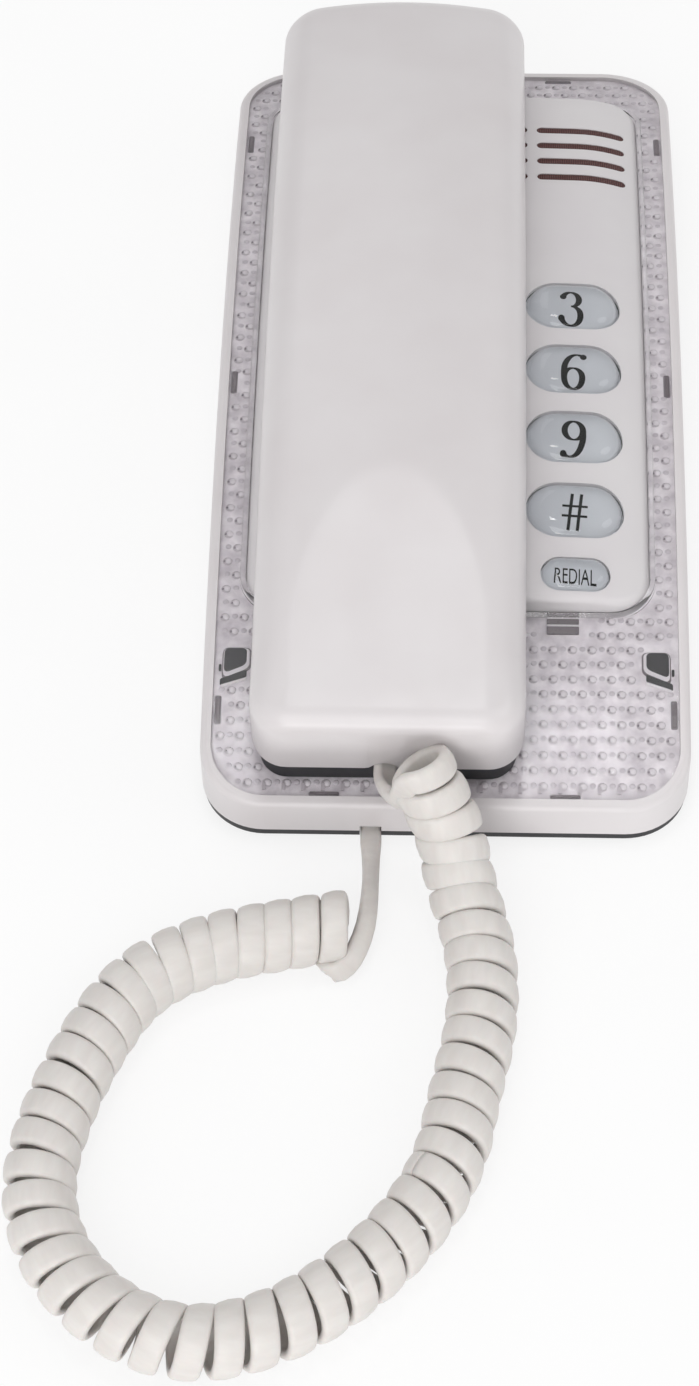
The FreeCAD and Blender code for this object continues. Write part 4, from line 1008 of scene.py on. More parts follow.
    def unwrap(self, piece: Piece, size: int, path: np.ndarray) -> None:
        """Lays the sheath's UV map along the cord.

        Args:
            piece: The swept stretch.
            size: Points round each ring.
            path: Points of the stretch, one to a ring.
        """
        along = milestones(path)
        layer = piece.data.uv_layers.new(name="sheath")
        for polygon in piece.data.polygons:
            spots = [divmod(piece.data.loops[i].vertex_index, size) for i in polygon.loop_indices]
            wraps = max(s for _, s in spots) == size - 1 and min(s for _, s in spots) == 0
            for index, (row, spot) in zip(polygon.loop_indices, spots):
                lap = size if wraps and spot == 0 and len(spots) == 4 else spot
                layer.data[index].uv = (lap / size, along[min(row, len(path) - 1)])

    def build(self) -> List[Piece]:
        """Makes the cord in two stretches: one left loose in place, one that rides on the base.

        Returns:
            The two stretches.
        """
        path, ways, turns = self.line()
        part = int(np.argmax(turns >= self.parting_turn))
        stretches = (("curly_cord_upper", slice(0, part + 1), ["handset_lead", "curly_cord"]),
                     ("curly_cord_lower", slice(part, None), ["curly_cord"]))
        pieces = []
        for name, span, nodes in stretches:
            stretch = path[span]
            piece = self.sweep(name, stretch, ways[span], turns[span])
            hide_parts(*nodes)
            pieces.append(piece)
        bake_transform(pieces[0])
        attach(pieces[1], "base")
        return pieces


@dataclass(frozen=True)
class DomedShell:
    """A closed shell under a domed top, with walls and rounded upper edges."""

    name: str
    low: Pair
    high: Pair
    radii: Pair
    edge_round: float
    wall: float
    skin: float
    sides: Tuple[int, int]
    rows: int
    arc_steps: int = 8
    lip: float = 0.0003
    corner: int = 10
    least_round: float = 0.0004

    def ring(self, inset: float) -> np.ndarray:
        """Gives the outline at an inset."""
        return outline(self.low, self.high, self.radii, inset, self.corner, self.sides)

    def rings(self, top: Heights, foot: Heights, rounding: Optional[Heights]) -> List[np.ndarray]:
        """Runs rings from the middle of the inside, round the walls, to the middle of the top.

        Args:
            top: Height of the outer top over flat points.
            foot: Height of the wall's lower edge there.
            rounding: Radius of the upper edge at points of the outline, where it varies.

        Returns:
            The rings in order.
        """
        def lifted(flat: np.ndarray, surface: Heights, drop: Any) -> np.ndarray:
            """Sets flat points on a surface, or below it by a drop."""
            return np.column_stack([flat, surface(flat) - drop])

        middle = min(self.high[0] - self.low[0], self.high[1] - self.low[1]) / 2.0
        inner_round = max(self.edge_round - self.wall, self.least_round)
        steps = np.radians(np.linspace(0.0, 90.0, self.arc_steps + 1))
        inside = np.linspace(middle, self.wall + inner_round, self.rows)[:-1]
        outside = np.linspace(self.edge_round, middle, self.rows)[1:]
        plan = [(inset, top, self.skin) for inset in inside]
        plan += [(self.wall + inner_round * (1.0 - math.cos(a)), top,
                  self.skin + inner_round * (1.0 - math.sin(a))) for a in steps[::-1]]
        plan += [(self.wall, foot, 0.0), (self.lip, foot, 0.0), (0.0, foot, -self.lip)]
        rings = [lifted(self.ring(inset), surface, drop) for inset, surface, drop in plan]
        edge, full = self.ring(0.0), self.ring(self.edge_round)
        radii = rounding(edge) if rounding else np.full(len(edge), self.edge_round)
        for a in steps:
            share = (radii / self.edge_round * (1.0 - math.cos(a)))[:, None]
            rings.append(lifted(edge + (full - edge) * share, top, radii * (1.0 - math.sin(a))))
        return rings + [lifted(self.ring(inset), top, 0.0) for inset in outside]

    def build(self, finish: Finish, top: Heights, foot: Heights,
              rounding: Optional[Heights] = None) -> Piece:
        """Makes the shell.

        Args:
            finish: Its finish.
            top: Height of the outer top over flat points.
            foot: Height of the wall's lower edge there.
            rounding: Radius of the upper edge at points of the outline, where it varies.

        Returns:
            The shell's object.
        """
        skin = Skin(self.name, finish)
        skin.loft(self.rings(top, foot, rounding))
        return skin.finish(merge=POLE_REACH)


def soft_min(first: np.ndarray, second: np.ndarray, reach: float) -> np.ndarray:
    """Takes the lower of two heights, eased over a reach where they meet."""
    share = np.clip(0.5 + 0.5 * (second - first) / reach, 0.0, 1.0)
    return second * (1.0 - share) + first * share - reach * share * (1.0 - share)


@dataclass
class HandsetShell:
    """The handset's white back shell with the arch-shaped facet at its low end."""

    arch: Arch
    radii: Pair = (0.0065, 0.0075)
    level: float = 0.024
    crown: float = 0.090
    edge_round: float = 0.0062
    wall: float = 0.0024
    skin: float = 0.0034
    sides: Tuple[int, int] = (44, 120)
    rows: int = 26
    foot_level: float = 0.005
    facet_length: float = 0.0488
    facet_low_inset: float = 0.006
    facet_depth: float = 0.0019
    facet_ease: float = 0.00016
    low_round: float = 0.0036
    round_reach: float = 0.020
    end_lean: float = 0.19
    lean_reach: float = 0.034
    notch_x: float = -0.0109
    notch_half: float = 0.0030
    notch_height: float = 0.0022

    def build(self) -> List[Piece]:
        """Makes the shell in place of its CAD node.

        Returns:
            The shell alone.
        """
        low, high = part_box("handset_back")
        middle = (low.x + high.x) / 2.0
        apex = low.y + self.facet_length
        near = low.y + self.facet_low_inset
        apex_z = float(self.arch.height(apex, self.level))
        near_z = float(self.arch.height(near, self.level)) - self.facet_depth

        def top(flat: np.ndarray) -> np.ndarray:
            """Finds the height of the crowned top, cut by the facet.

            Args:
                flat: Points across and along the phone.

            Returns:
                The height at each.
            """
            across = flat[:, 0] - middle
            level = self.level - self.crown + np.sqrt(self.crown ** 2 - across ** 2)
            facet = apex_z + (flat[:, 1] - apex) * (apex_z - near_z) / (apex - near)
            return soft_min(self.arch.height(flat[:, 1], level), facet, self.facet_ease)

        def foot(flat: np.ndarray) -> np.ndarray:
            """Finds the height of the lower edge, with the cord's notch in the low end.

            Args:
                flat: Points across and along the phone.

            Returns:
                The height at each.
            """
            near_cord = np.clip(1.0 - ((flat[:, 0] - self.notch_x) / self.notch_half) ** 2, 0.0, 1.0)
            at_end = flat[:, 1] < low.y + self.radii[0]
            return self.arch.height(flat[:, 1], self.foot_level) + self.notch_height * near_cord * at_end

        def rounding(flat: np.ndarray) -> np.ndarray:
            """Radius of the upper edge, tighter at the low end."""
            share = np.clip((flat[:, 1] - low.y) / self.round_reach, 0.0, 1.0)
            return self.low_round + (self.edge_round - self.low_round) * share * share * (3.0 - 2.0 * share)

        shell = DomedShell("handset_shell", (low.x, low.y), (high.x, high.y), self.radii, self.edge_round,
                           self.wall, self.skin, self.sides, self.rows)
        piece = shell.build(Finish.WHITE, top, foot, rounding)
        self.lean_end(piece, low.y)
        return [settle(piece, "handset", "handset_back")]

    def lean_end(self, piece: Piece, low_y: float) -> None:
        """Leans the low end outward at the top, square to the bend.

        Args:
            piece: The shell.
            low_y: Where the low end starts.
        """
        points = points_of(piece.data)
        share = np.clip((low_y + self.lean_reach - points[:, 1]) / self.lean_reach, 0.0, 1.0)
        rise = np.maximum(points[:, 2] - self.arch.height(points[:, 1], self.foot_level), 0.0)
        points[:, 1] -= self.end_lean * rise * share ** 2
        piece.data.vertices.foreach_set("co", points.ravel())
        piece.data.update()


class KeyKind(Enum):
    """The two shapes of key, as length and width."""

    NUMBER = (0.0180, 0.0116)
    FUNCTION = (0.0124, 0.0066)


KEY_KINDS = {name: KeyKind.NUMBER for name in "1 2 3 4 5 6 7 8 9 star 0 hash".split()}
KEY_KINDS.update({name: KeyKind.FUNCTION for name in ("mute", "flash", "redial")})


@dataclass(frozen=True)
class KeySeat:
    """Where one key stands: the middle of its top and its own axes."""

    origin: np.ndarray
    along: np.ndarray
    across: np.ndarray
    upward: np.ndarray

    @classmethod
    def of_key(cls, name: str) -> "KeySeat":
        """Reads a key's seat from its CAD node and its joint.

        Args:
            name: The key's name, such as "3".

        Returns:
            The seat.
        """
        joint = next(j for j in frame["joints"] if j["name"] == f"key_{name}_press")
        upward = -unit(np.array(joint["axis"], float))
        along = unit(np.cross((0.0, 1.0, 0.0), upward))
        points = points_of(frame["nodes"][f"key_{name}"].data)
        heights = points @ upward
        crest = points[heights > heights.max() - CREST_DEPTH]
        return cls((crest.min(0) + crest.max(0)) / 2.0, along, np.cross(upward, along), upward)

    def place(self, flat: np.ndarray, height: Any) -> np.ndarray:
        """Puts flat points on the seat.

        Args:
            flat: Points along and across the key.
            height: Their height above the key's top, one for all or one for each.

        Returns:
            The points in the frame's axes.
        """
        level = np.broadcast_to(np.asarray(height, float), (len(flat),))
        return (self.origin + flat[:, :1] * self.along + flat[:, 1:2] * self.across
                + level[:, None] * self.upward)


@dataclass(frozen=True)
class Run:
    """A straight part of a numeral."""

    start: Pair
    end: Pair

    def points(self) -> np.ndarray:
        """Points along it."""
        return np.linspace(self.start, self.end, 4)


@dataclass(frozen=True)
class PenStroke:
    """One stroke of a broad pen: thick upright, thin level, with round ends where asked."""

    parts: Tuple[Any, ...]
    balls: Tuple[bool, bool] = (False, False)
    thick: float = 0.15
    thin: float = 0.045
    swell: float = 1.4
    ball: float = 0.082

    def points(self) -> np.ndarray:
        """Points of the stroke's middle line."""
        points = np.concatenate([part.points() for part in self.parts])
        return points[np.concatenate([[True], np.linalg.norm(np.diff(points, axis=0), axis=1) > 1e-4])]

    def edges(self) -> Tuple[np.ndarray, np.ndarray]:
        """Finds the stroke's edges.

        Returns:
            Points of its left edge and of its right edge.
        """
        points = self.points()
        ahead = unit(np.gradient(points, axis=0))
        half = (self.thin + (self.thick - self.thin) * np.abs(ahead[:, 1:]) ** self.swell) / 2.0
        side = np.stack([-ahead[:, 1], ahead[:, 0]], 1) * half
        return points + side, points - side


def bar(start: Pair, end: Pair, **pen: float) -> PenStroke:
    """Draws one straight stroke, with its own pen where asked."""
    return PenStroke((Run(start, end),), **pen)


def loop(centre: Pair, radii: Pair, start: float, end: float, first: bool = False,
         last: bool = False) -> PenStroke:
    """Draws one round stroke, with a ball at its first or last end where asked."""
    return PenStroke((Arc(centre, radii, start, end),), (first, last))


def star_arm(angle: float) -> PenStroke:
    """Draws one bar of the star, at an angle in degrees."""
    x, y = 0.24 * math.cos(math.radians(angle)), 0.24 * math.sin(math.radians(angle))
    return bar((0.30 - x, 0.52 - y), (0.30 + x, 0.52 + y), thick=0.09, thin=0.08)


NUMERALS: Dict[str, Tuple[PenStroke, ...]] = {
    "0": (loop((0.30, 0.50), (0.22, 0.47), 90.0, 450.0),),
    "1": (bar((0.10, 0.80), (0.31, 0.97)), bar((0.33, 0.97), (0.33, 0.03)),
          bar((0.14, 0.03), (0.52, 0.03))),
    "2": (PenStroke((Arc((0.29, 0.72), (0.20, 0.25), 165.0, -25.0), Run((0.46, 0.58), (0.08, 0.08))),
                    (True, False)), bar((0.06, 0.06), (0.54, 0.06), thin=0.11)),
    "3": (loop((0.27, 0.745), (0.20, 0.23), 160.0, -88.0, first=True),
          loop((0.26, 0.27), (0.24, 0.255), 88.0, -160.0, last=True)),
    "4": (PenStroke((Run((0.40, 0.97), (0.04, 0.30)), Run((0.04, 0.29), (0.58, 0.29)))),
          bar((0.42, 0.97), (0.42, 0.03)), bar((0.27, 0.03), (0.57, 0.03))),
    "5": (bar((0.13, 0.95), (0.50, 0.95), thin=0.11), bar((0.13, 0.97), (0.11, 0.50), thick=0.05),
          loop((0.27, 0.31), (0.24, 0.285), 132.0, -158.0, last=True)),
    "6": (PenStroke((Arc((0.40, 0.46), (0.32, 0.51), 62.0, 180.0),
                     Arc((0.30, 0.29), (0.22, 0.265), 180.0, 540.0)), (True, False)),),
    "7": (bar((0.06, 0.94), (0.54, 0.94), thin=0.11),
          PenStroke((Run((0.54, 0.92), (0.30, 0.45)), Run((0.29, 0.42), (0.23, 0.03))))),
    "8": (loop((0.30, 0.75), (0.17, 0.22), 90.0, 450.0), loop((0.30, 0.275), (0.22, 0.25), 90.0, 450.0)),
    "9": (PenStroke((Arc((0.20, 0.54), (0.32, 0.51), 242.0, 360.0),
                     Arc((0.30, 0.71), (0.22, 0.265), 0.0, 360.0)), (True, False)),),
    "star": tuple(star_arm(angle) for angle in (30.0, 90.0, 150.0)),
    "hash": (bar((0.25, 0.97), (0.15, 0.03), thick=0.075), bar((0.47, 0.97), (0.37, 0.03), thick=0.075),
             bar((0.01, 0.63), (0.61, 0.63), thin=0.06), bar((0.0, 0.36), (0.60, 0.36), thin=0.06)),
}


@dataclass
class Key:
    """One clear key, over a pale cup that carries its printed legend."""

    name: str
    kind: KeyKind
    panel_top: PanelTop = PanelTop()
    key_level: float = 0.0062
    cap_depth: float = 0.0033
    foot_inset: float = 0.0001
    shoulder: float = 0.0030
    shoulder_most: float = 0.62
    fall: float = 0.0020
    function_fall: float = 0.7
    crest: float = 0.0003
    follow: float = 0.8
    sink: float = 0.00015
    cup_depth: float = 0.0021
    cup_gap: float = 0.00002
    cup_wall: float = 0.00028
    cup_rise: float = 0.0001
    ink_height: float = 0.00003
    ball_rise: float = 0.000004
    stroke_rise: float = 0.2
    ball_steps: int = 16
    numeral_height: float = 0.0080
    numeral_middle: float = 0.30
    numeral_shift: float = 0.0003
    word_height: float = 0.0027
    capital_share: float = 0.7
    word_squeeze: float = 0.62
    word_shift: float = 0.0001
    rows: Tuple[int, int] = (12, 6)

    def __post_init__(self) -> None:
        """Finds the key's seat and the sizes that follow from its kind."""
        self.seat = KeySeat.of_key(self.name)
        self.length, self.width = self.kind.value
        self.half = self.width / 2.0
        self.floor = self.sink - self.cap_depth

    def ring(self, inset: float, height: float) -> np.ndarray:
        """Gives the key's outline at an inset, level at a height above the key's top."""
        return self.seat.place(pill(self.length, self.width, inset), height)

    def droop(self, flat: np.ndarray) -> np.ndarray:
        """Finds how far the panel falls below the key's own plane, from its middle outwards.

        Args:
            flat: Points along and across the key.

        Returns:
            The fall at each.
        """
        middle = float(self.seat.origin[0])
        fall = self.panel_top.level(middle) - self.panel_top.level(middle + flat[:, 0])
        return fall + self.seat.along[2] * flat[:, 0]

    def cap(self) -> Piece:
        """Makes the clear cap: a pill with a domed top that follows the panel.

        Returns:
            The cap, in place of its CAD node.
        """
        shoulder = min(self.shoulder, self.half * self.shoulder_most)
        fall = self.fall if self.kind is KeyKind.NUMBER else self.fall * self.function_fall
        insets = (self.half, self.half / 2.0, self.foot_inset)
        rings = [self.ring(inset, -self.cap_depth) for inset in insets]
        turn = np.linspace(0.0, math.pi / 2.0, self.rows[0])
        for inset in np.concatenate([shoulder * (1.0 - np.cos(turn)),
                                     np.linspace(shoulder, self.half, self.rows[1])[1:]]):
            flat = pill(self.length, self.width, inset)
            slope = math.sqrt(max(0.0, 1.0 - max(0.0, 1.0 - inset / shoulder) ** 2))
            height = -fall * (1.0 - slope) - self.crest * (1.0 - inset / self.half) ** 2
            rings.append(self.seat.place(flat, height - self.follow * self.droop(flat)))
        skin = Skin(f"key_{self.name}_cap", Finish.KEY)
        skin.loft(rings)
        piece = skin.finish(merge=POLE_REACH, edge=50.0)
        return settle(piece, f"key_{self.name}", f"key_{self.name}")

    def label(self) -> Piece:
        """Makes the pale cup under and round a cap, with the legend on its floor.

        Returns:
            The cup, pale with black ink.
        """
        outer, inner = -self.cup_gap - self.cup_wall, -self.cup_gap
        foot = self.floor - self.cup_depth
        rings = [self.ring(self.half, foot), self.ring(outer, foot)]
        for inset in (outer, inner):
            flat = pill(self.length, self.width, inset)
            panel = self.panel_top.level(float(self.seat.origin[0])) - self.key_level - self.droop(flat)
            rings.append(self.seat.place(flat, panel + self.cup_rise))
        rings += [self.ring(inset, self.floor) for inset in (inner, self.half * 0.5, self.half)]
        skin = Skin(f"key_{self.name}_label", Finish.LABEL, Finish.INK)
        skin.loft(rings)
        if self.kind is KeyKind.NUMBER:
            self.print_numeral(skin)
        else:
            self.print_word(skin)
        return settle(skin.finish(edge=EDGE_ANGLE), f"key_{self.name}")

    def print_numeral(self, skin: Skin) -> None:
        """Prints the key's numeral on its label.

        Args:
            skin: The label's skin.
        """
        top, scale = self.floor, self.numeral_height
        shift = np.array((self.numeral_middle, 0.5 - self.numeral_shift / scale))
        for number, stroke in enumerate(NUMERALS[self.name]):
            ink = top + self.ink_height * (1.0 + self.stroke_rise * number)
            left, right = ((edge - shift) * scale for edge in stroke.edges())
            sides = zip(*(self.seat.place(flat, height)
                          for flat, height in ((left, ink), (right, ink), (right, top), (left, top))))
            skin.loft([np.array(ring) for ring in sides], slot=1, caps=True)
            for end, wanted in zip(stroke.points()[[0, -1]], stroke.balls):
                if wanted:
                    circle = Arc(tuple(end - shift), (stroke.ball, stroke.ball), 0.0, 360.0)
                    disc = circle.points(self.ball_steps + 1)[:-1] * scale
                    skin.loft([self.seat.place(disc, top), self.seat.place(disc, ink + self.ball_rise)],
                              slot=1, caps=True)

    def print_word(self, skin: Skin) -> None:
        """Prints the key's word on its label.

        Args:
            skin: The label's skin.
        """
        curve = bpy.data.curves.new("word", "FONT")
        curve.body, curve.align_x, curve.align_y = self.name.upper(), "CENTER", "CENTER"
        curve.size, curve.extrude = 1.0, 0.01
        holder = show("word", curve)
        mesh = evaluated(holder)
        points = points_of(mesh)
        scale = self.word_height / self.capital_share * np.array((self.word_squeeze, 1.0))
        flat = points[:, :2] * scale + np.array((0.0, self.word_shift))
        level = self.floor + self.ink_height * (points[:, 2] > 0.0)
        skin.add(self.seat.place(flat, level), [tuple(p.vertices) for p in mesh.polygons], 1)
        bpy.data.batch_remove((holder, curve, mesh))


@dataclass
class Keypad:
    """The fifteen keys."""

    kinds: Dict[str, KeyKind] = field(default_factory=lambda: dict(KEY_KINDS))

    def build(self) -> List[Piece]:
        """Makes every key's cap and label."""
        keys = [Key(name, kind) for name, kind in self.kinds.items()]
        return [piece for key in keys for piece in (key.cap(), key.label())]


class Motif(Enum):
    """Small shapes that repeat under the clear plate, a unit across: their node and its inputs."""

    DOT = ("GeometryNodeMeshUVSphere", (("Segments", 10), ("Rings", 6), ("Radius", 0.5)))
    RIB = ("GeometryNodeMeshCube", (("Size", (1.0, 1.0, 1.0)),))


class RepeatTree(NodeTree):
    """A node tree that sets one small shape on every point of a mesh."""

    def __init__(self, motif: Motif) -> None:
        """Builds the tree, with the motif's size and material as named inputs.

        Args:
            motif: The shape that it repeats.
        """
        super().__init__(bpy.data.node_groups.new(f"{motif.name.lower()}_repeat", "GeometryNodeTree"))
        face = self.tree.interface
        face.new_socket("Geometry", in_out="INPUT", socket_type="NodeSocketGeometry")
        self.inputs: Dict[str, str] = {}
        for name, kind in (("Size", "NodeSocketVector"), ("Material", "NodeSocketMaterial")):
            self.inputs[name] = face.new_socket(name, in_out="INPUT", socket_type=kind).identifier
        face.new_socket("Geometry", in_out="OUTPUT", socket_type="NodeSocketGeometry")
        given = self.add("NodeGroupInput", {})
        kind, facts = motif.value
        shape = self.add("GeometryNodeTransform", {"Geometry": self.add(kind, dict(facts))["Mesh"],
                                                   "Scale": given["Size"]})
        lean = self.add("GeometryNodeInputNamedAttribute", {"Name": "lean"}, data_type="FLOAT_VECTOR")
        spread = self.add("GeometryNodeInstanceOnPoints", {"Points": given["Geometry"],
                                                           "Instance": shape["Geometry"],
                                                           "Rotation": lean["Attribute"]})
        real = self.add("GeometryNodeRealizeInstances", {"Geometry": spread["Instances"]})
        smooth = self.add("GeometryNodeSetShadeSmooth", {"Geometry": real["Geometry"],
                                                         "Shade Smooth": motif is Motif.DOT})
        paint = self.add("GeometryNodeSetMaterial", {"Geometry": smooth["Geometry"],
                                                     "Material": given["Material"]})
        self.add("NodeGroupOutput", {"Geometry": paint["Geometry"]})

    def grow(self, name: str, points: np.ndarray, leans: np.ndarray, size: Point, finish: Finish) -> Piece:
        """Sets the motif on points and makes the result a plain mesh.

        Args:
            name: The piece's name.
            points: Where the motifs stand.
            leans: Turn of each about X, in radians.
            size: Width, length and height of one.
            finish: Their finish.

        Returns:
            The piece.
        """
        mesh = bpy.data.meshes.new(f"{name}_points")
        mesh.from_pydata(points.tolist(), [], [])
        lean = mesh.attributes.new("lean", "FLOAT_VECTOR", "POINT")
        lean.data.foreach_set("vector", np.column_stack([leans, leans * 0.0, leans * 0.0]).ravel())
        holder = show(f"{name}_points", mesh)
        modifier = holder.modifiers.new("repeat", "NODES")
        modifier.node_group = self.tree
        modifier[self.inputs["Size"]] = size
        modifier[self.inputs["Material"]] = finish.material
        grown = evaluated(holder)
        grown.name = name
        bpy.data.batch_remove((holder, mesh))
        return show(name, grown)


@dataclass
class Face:
    """The base's face: white panel, clear plate with its dots, tabs, catches and clip."""

    arch: Arch
    rim_width: float = 0.00204
    base_radii: Pair = (0.012, 0.014)
    panel_low: Pair = (-0.0378, -0.0558)
    panel_high: Pair = (0.0378, 0.0805)
    panel_radii: Pair = (0.0075, 0.0055)
    panel_top: PanelTop = PanelTop()
    panel_edge: float = 0.0013
    panel_wall: float = 0.0012
    panel_skin: float = 0.0009
    panel_foot: float = -0.0027
    panel_gap: float = 0.00005
    hole_gap: float = 0.00035
    hole_span: Pair = (-0.012, 0.006)
    slot_size: Pair = (0.0180, 0.0020)
    middle_slot_length: float = 0.0304
    slot_x: float = 0.0261
    slot_rows: Tuple[float, ...] = (0.0679, 0.0627, 0.0575, 0.0523)
    slot_span: Pair = (0.005, 0.04)
    hook_size: Pair = (0.0087, 0.0107)
    hook_round: float = 0.001
    cloth_half: float = 0.0366
    cloth_margin: float = 0.003
    cloth_round: float = 0.001
    cloth_reach: float = 0.0106
    cloth_levels: Pair = (-0.0006, -0.0002)
    plate_level: float = -0.0002
    plate_under: float = -0.00055
    plate_bevel: float = 0.0003
    plate_shares: Pair = (0.06, 0.7)
    # The plate's last row but one and its end at the opening, in widths of the lip.
    plate_ends: Pair = (1.6, 1.25)
    plate_steps: Tuple[int, Tuple[int, int]] = (10, (20, 60))
    deck_level: float = -0.00115
    backing_levels: Pair = (0.00002, 0.00008)
    backing_share: float = 0.99
    lip_rise: float = 0.0007
    lip_width: float = 0.0010
    # The lip's section, in its widths and rises.
    lip_section: Arc = Arc((0.55, 0.35), (0.5, 0.75), 180.0, -150.0)
    dot_pitch: Pair = (0.0036, 0.0030)
    dot_margin: float = 0.0009
    dot_lift: float = 0.0001
    # Each layer's name, the size of a dot, where one lies, the layer's shift and its finish.
    dot_layers: Tuple[Tuple[str, Point, Pair, Pair, Finish], ...] = (
        # The dimples as beads, shifted right so that their pale colour reads as a painted highlight.
        ("plate_dots", (0.0014, 0.0014, 0.0008), (0.0, 0.0), (0.00016, 0.00006), Finish.DOT),
        # Painted shade: grey discs a little left of and below each dot.
        ("plate_dot_shades", (0.0018, 0.0018, 0.0003), (0.0, 0.0), (-0.00008, -0.00005), Finish.DOT_PAINTED_SHADE),
        # Painted shadow: a small dark spot low left of each dot.
        ("plate_dot_specks", (0.0005, 0.0005, 0.0008), (0.0, 0.0), (-0.0006, -0.0001), Finish.DOT_SPECK),
        # Painted reflections: a faint grey dot between each pair of dots.
        ("plate_dot_ghosts", (0.0012, 0.0011, 0.0003), (0.0018, 0.0002), (0.0, 0.0), Finish.DOT_PAINTED_REFLECTION))
    rib_pitch: float = 0.0036
    rib_size: Point = (0.0007, 0.0014, 0.0005)
    rib_inset: float = 0.0022
    block_bevel: float = 0.00012
    tab_size: Point = (0.0053, 0.0009, 0.0004)
    end_tab_share: float = 0.6
    side_tabs: Tuple[float, ...] = (0.0678, -0.0028, -0.076)
    end_tabs: Tuple[float, ...] = (-0.022, 0.022)
    tab_inset: float = 0.0030
    # How much wider the foot is than its tab, and its height.
    tab_foot: Pair = (0.0003, 0.0002)
    tab_rounds: Pair = (0.0002, 0.0003)
    tab_room: float = 0.0022
    catch_place: Pair = (0.0388, -0.0661)
    catch_room: float = 0.0042
    # Each block's place from the catch's, its size, finish, corner radius and slants.
    catch_blocks: Tuple[Tuple[Pair, Point, int, float, Pair], ...] = (
        ((0.00005, -0.00015), (0.0054, 0.0057, 0.0002), 2, 0.0011, (-0.44, 0.0)),
        ((0.00010, 0.00000), (0.0049, 0.0051, 0.0003), 1, 0.0010, (-0.44, 0.0)),
        ((0.00030, 0.00035), (0.0042, 0.0043, 0.0004), 0, 0.0009, (-0.44, 0.0)),
        ((0.00045, -0.00440), (0.0048, 0.0005, 0.0004), 1, 0.00018, (-0.34, -0.34)),
        ((0.00060, -0.00350), (0.0049, 0.0013, 0.0004), 0, 0.0003, (-0.36, -0.40)),
        ((0.00310, -0.00150), (0.0005, 0.0013, 0.0004), 0, 0.0002, (0.0, 0.0)))
    clip_place: Pair = (0.0216, -0.0569)
    clip_length: float = 0.0060
    clip_height: float = 0.0004
    clip_round: float = 0.0002
    # Each bar's place from the clip's along the phone, its depth and its finish.
    # Grey bars paint the clear clip in shade; pale bars paint highlights on it.
    clip_bars: Tuple[Tuple[float, float, int], ...] = (
        (0.0012, 0.0007, 2), (-0.0004, 0.0009, 2), (-0.0022, 0.0016, 2), (0.0004, 0.0004, 1),
        (-0.0012, 0.0004, 1))
    clip_clear: Tuple[Pair, ...] = ((-0.0025, -0.0008), (0.0, -0.0008), (0.0025, -0.0008))
    clip_room: float = 0.0030
    pieces: List[Piece] = field(default_factory=list)

    def __post_init__(self) -> None:
        """Reads the base's box from the frame."""
        self.base_low, self.base_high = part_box("base_housing")

    def keep(self, piece: Piece, node: Optional[str] = None) -> None:
        """Lets a piece ride on the base and lists it."""
        self.pieces.append(settle(piece, "base", node))

    def panel_cutter(self) -> Piece:
        """Makes one mesh of every hole through the panel: keys, speaker slots and hook.

        Returns:
            The mesh's object.
        """
        skin = Skin("panel_cutter")
        for name, kind in KEY_KINDS.items():
            seat = KeySeat.of_key(name)
            length, width = (side + 2.0 * self.hole_gap for side in kind.value)
            ring = pill(length, width, steps=20, run=3)
            skin.loft([seat.place(ring, height) for height in self.hole_span], caps=True)
        slots = ((-self.slot_x, self.slot_size[0]), (0.0, self.middle_slot_length),
                 (self.slot_x, self.slot_size[0]))
        for y in self.slot_rows:
            for x, length in slots:
                slot = pill(length, self.slot_size[1], steps=10, run=12)
                skin.prism(slot + np.array((x, y)), *self.slot_span)
        corners = np.array(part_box("hook_plunger"))[:, :2]
        middle, half = corners.sum(0) / 2.0, np.array(self.hook_size) / 2.0
        rounds = (self.hook_round, self.hook_round)
        skin.prism(outline(middle - half, middle + half, rounds, 0.0, 4, (2, 2)), *self.slot_span)
        return skin.finish(smooth=False)

    def build_panel(self) -> None:
        """Makes the white panel with its holes, in place of its CAD node."""
        def top(flat: np.ndarray) -> np.ndarray:
            """Height of the panel's top."""
            return self.arch.height(flat[:, 1], self.panel_top.level(flat[:, 0]))

        def foot(flat: np.ndarray) -> np.ndarray:
            """Height of the wall's lower edge, inside the plate's opening."""
            return self.arch.height(flat[:, 1], self.panel_foot)

        shell = DomedShell("panel_shell", self.panel_low, self.panel_high, self.panel_radii,
                           self.panel_edge, self.panel_wall, self.panel_skin, sides=(40, 70), rows=20,
                           arc_steps=6)
        piece = shell.build(Finish.PANEL, top, foot)
        cutter = self.panel_cutter()
        cut = piece.modifiers.new("holes", "BOOLEAN")
        cut.operation, cut.solver, cut.object = "DIFFERENCE", "EXACT", cutter
        mesh = evaluated(piece)
        piece.modifiers.remove(cut)
        piece.data = mesh
        bpy.data.objects.remove(cutter)
        self.keep(crisp(piece, 30.0), "keypad_panel")

    def plate_ring(self, share: float, inset: float, level: float) -> np.ndarray:
        """Gives a ring of the plate on the bend.

        Args:
            share: Its place, from the plate's outer edge at 0 to the panel's edge at 1.
            inset: How far it lies from that edge.
            level: Its level above the rim.

        Returns:
            The ring's points.
        """
        gap, steps = self.panel_gap, self.plate_steps
        outer = outline(self.base_low, self.base_high, self.base_radii, self.rim_width + inset, *steps)
        inner = outline(self.panel_low, self.panel_high, self.panel_radii, -gap - inset, *steps)
        return self.arch.raised(outer * (1.0 - share) + inner * share, level)

    def build_ring(self, name: str, finish: Finish, plan: Iterable[Point], edge: float = 0.0,
                   node: Optional[str] = None) -> None:
        """Makes a piece that runs round the panel through rings of the plate.

        Args:
            name: The piece's name.
            finish: Its finish.
            plan: Share, inset and level of each ring.
            edge: Angle in degrees past which an edge shades as one, or 0 for none.
            node: The CAD node that it stands for.
        """
        skin = Skin(name, finish)
        skin.loft([self.plate_ring(*ring) for ring in plan], around=True)
        self.keep(skin.finish(edge=edge), node=node)

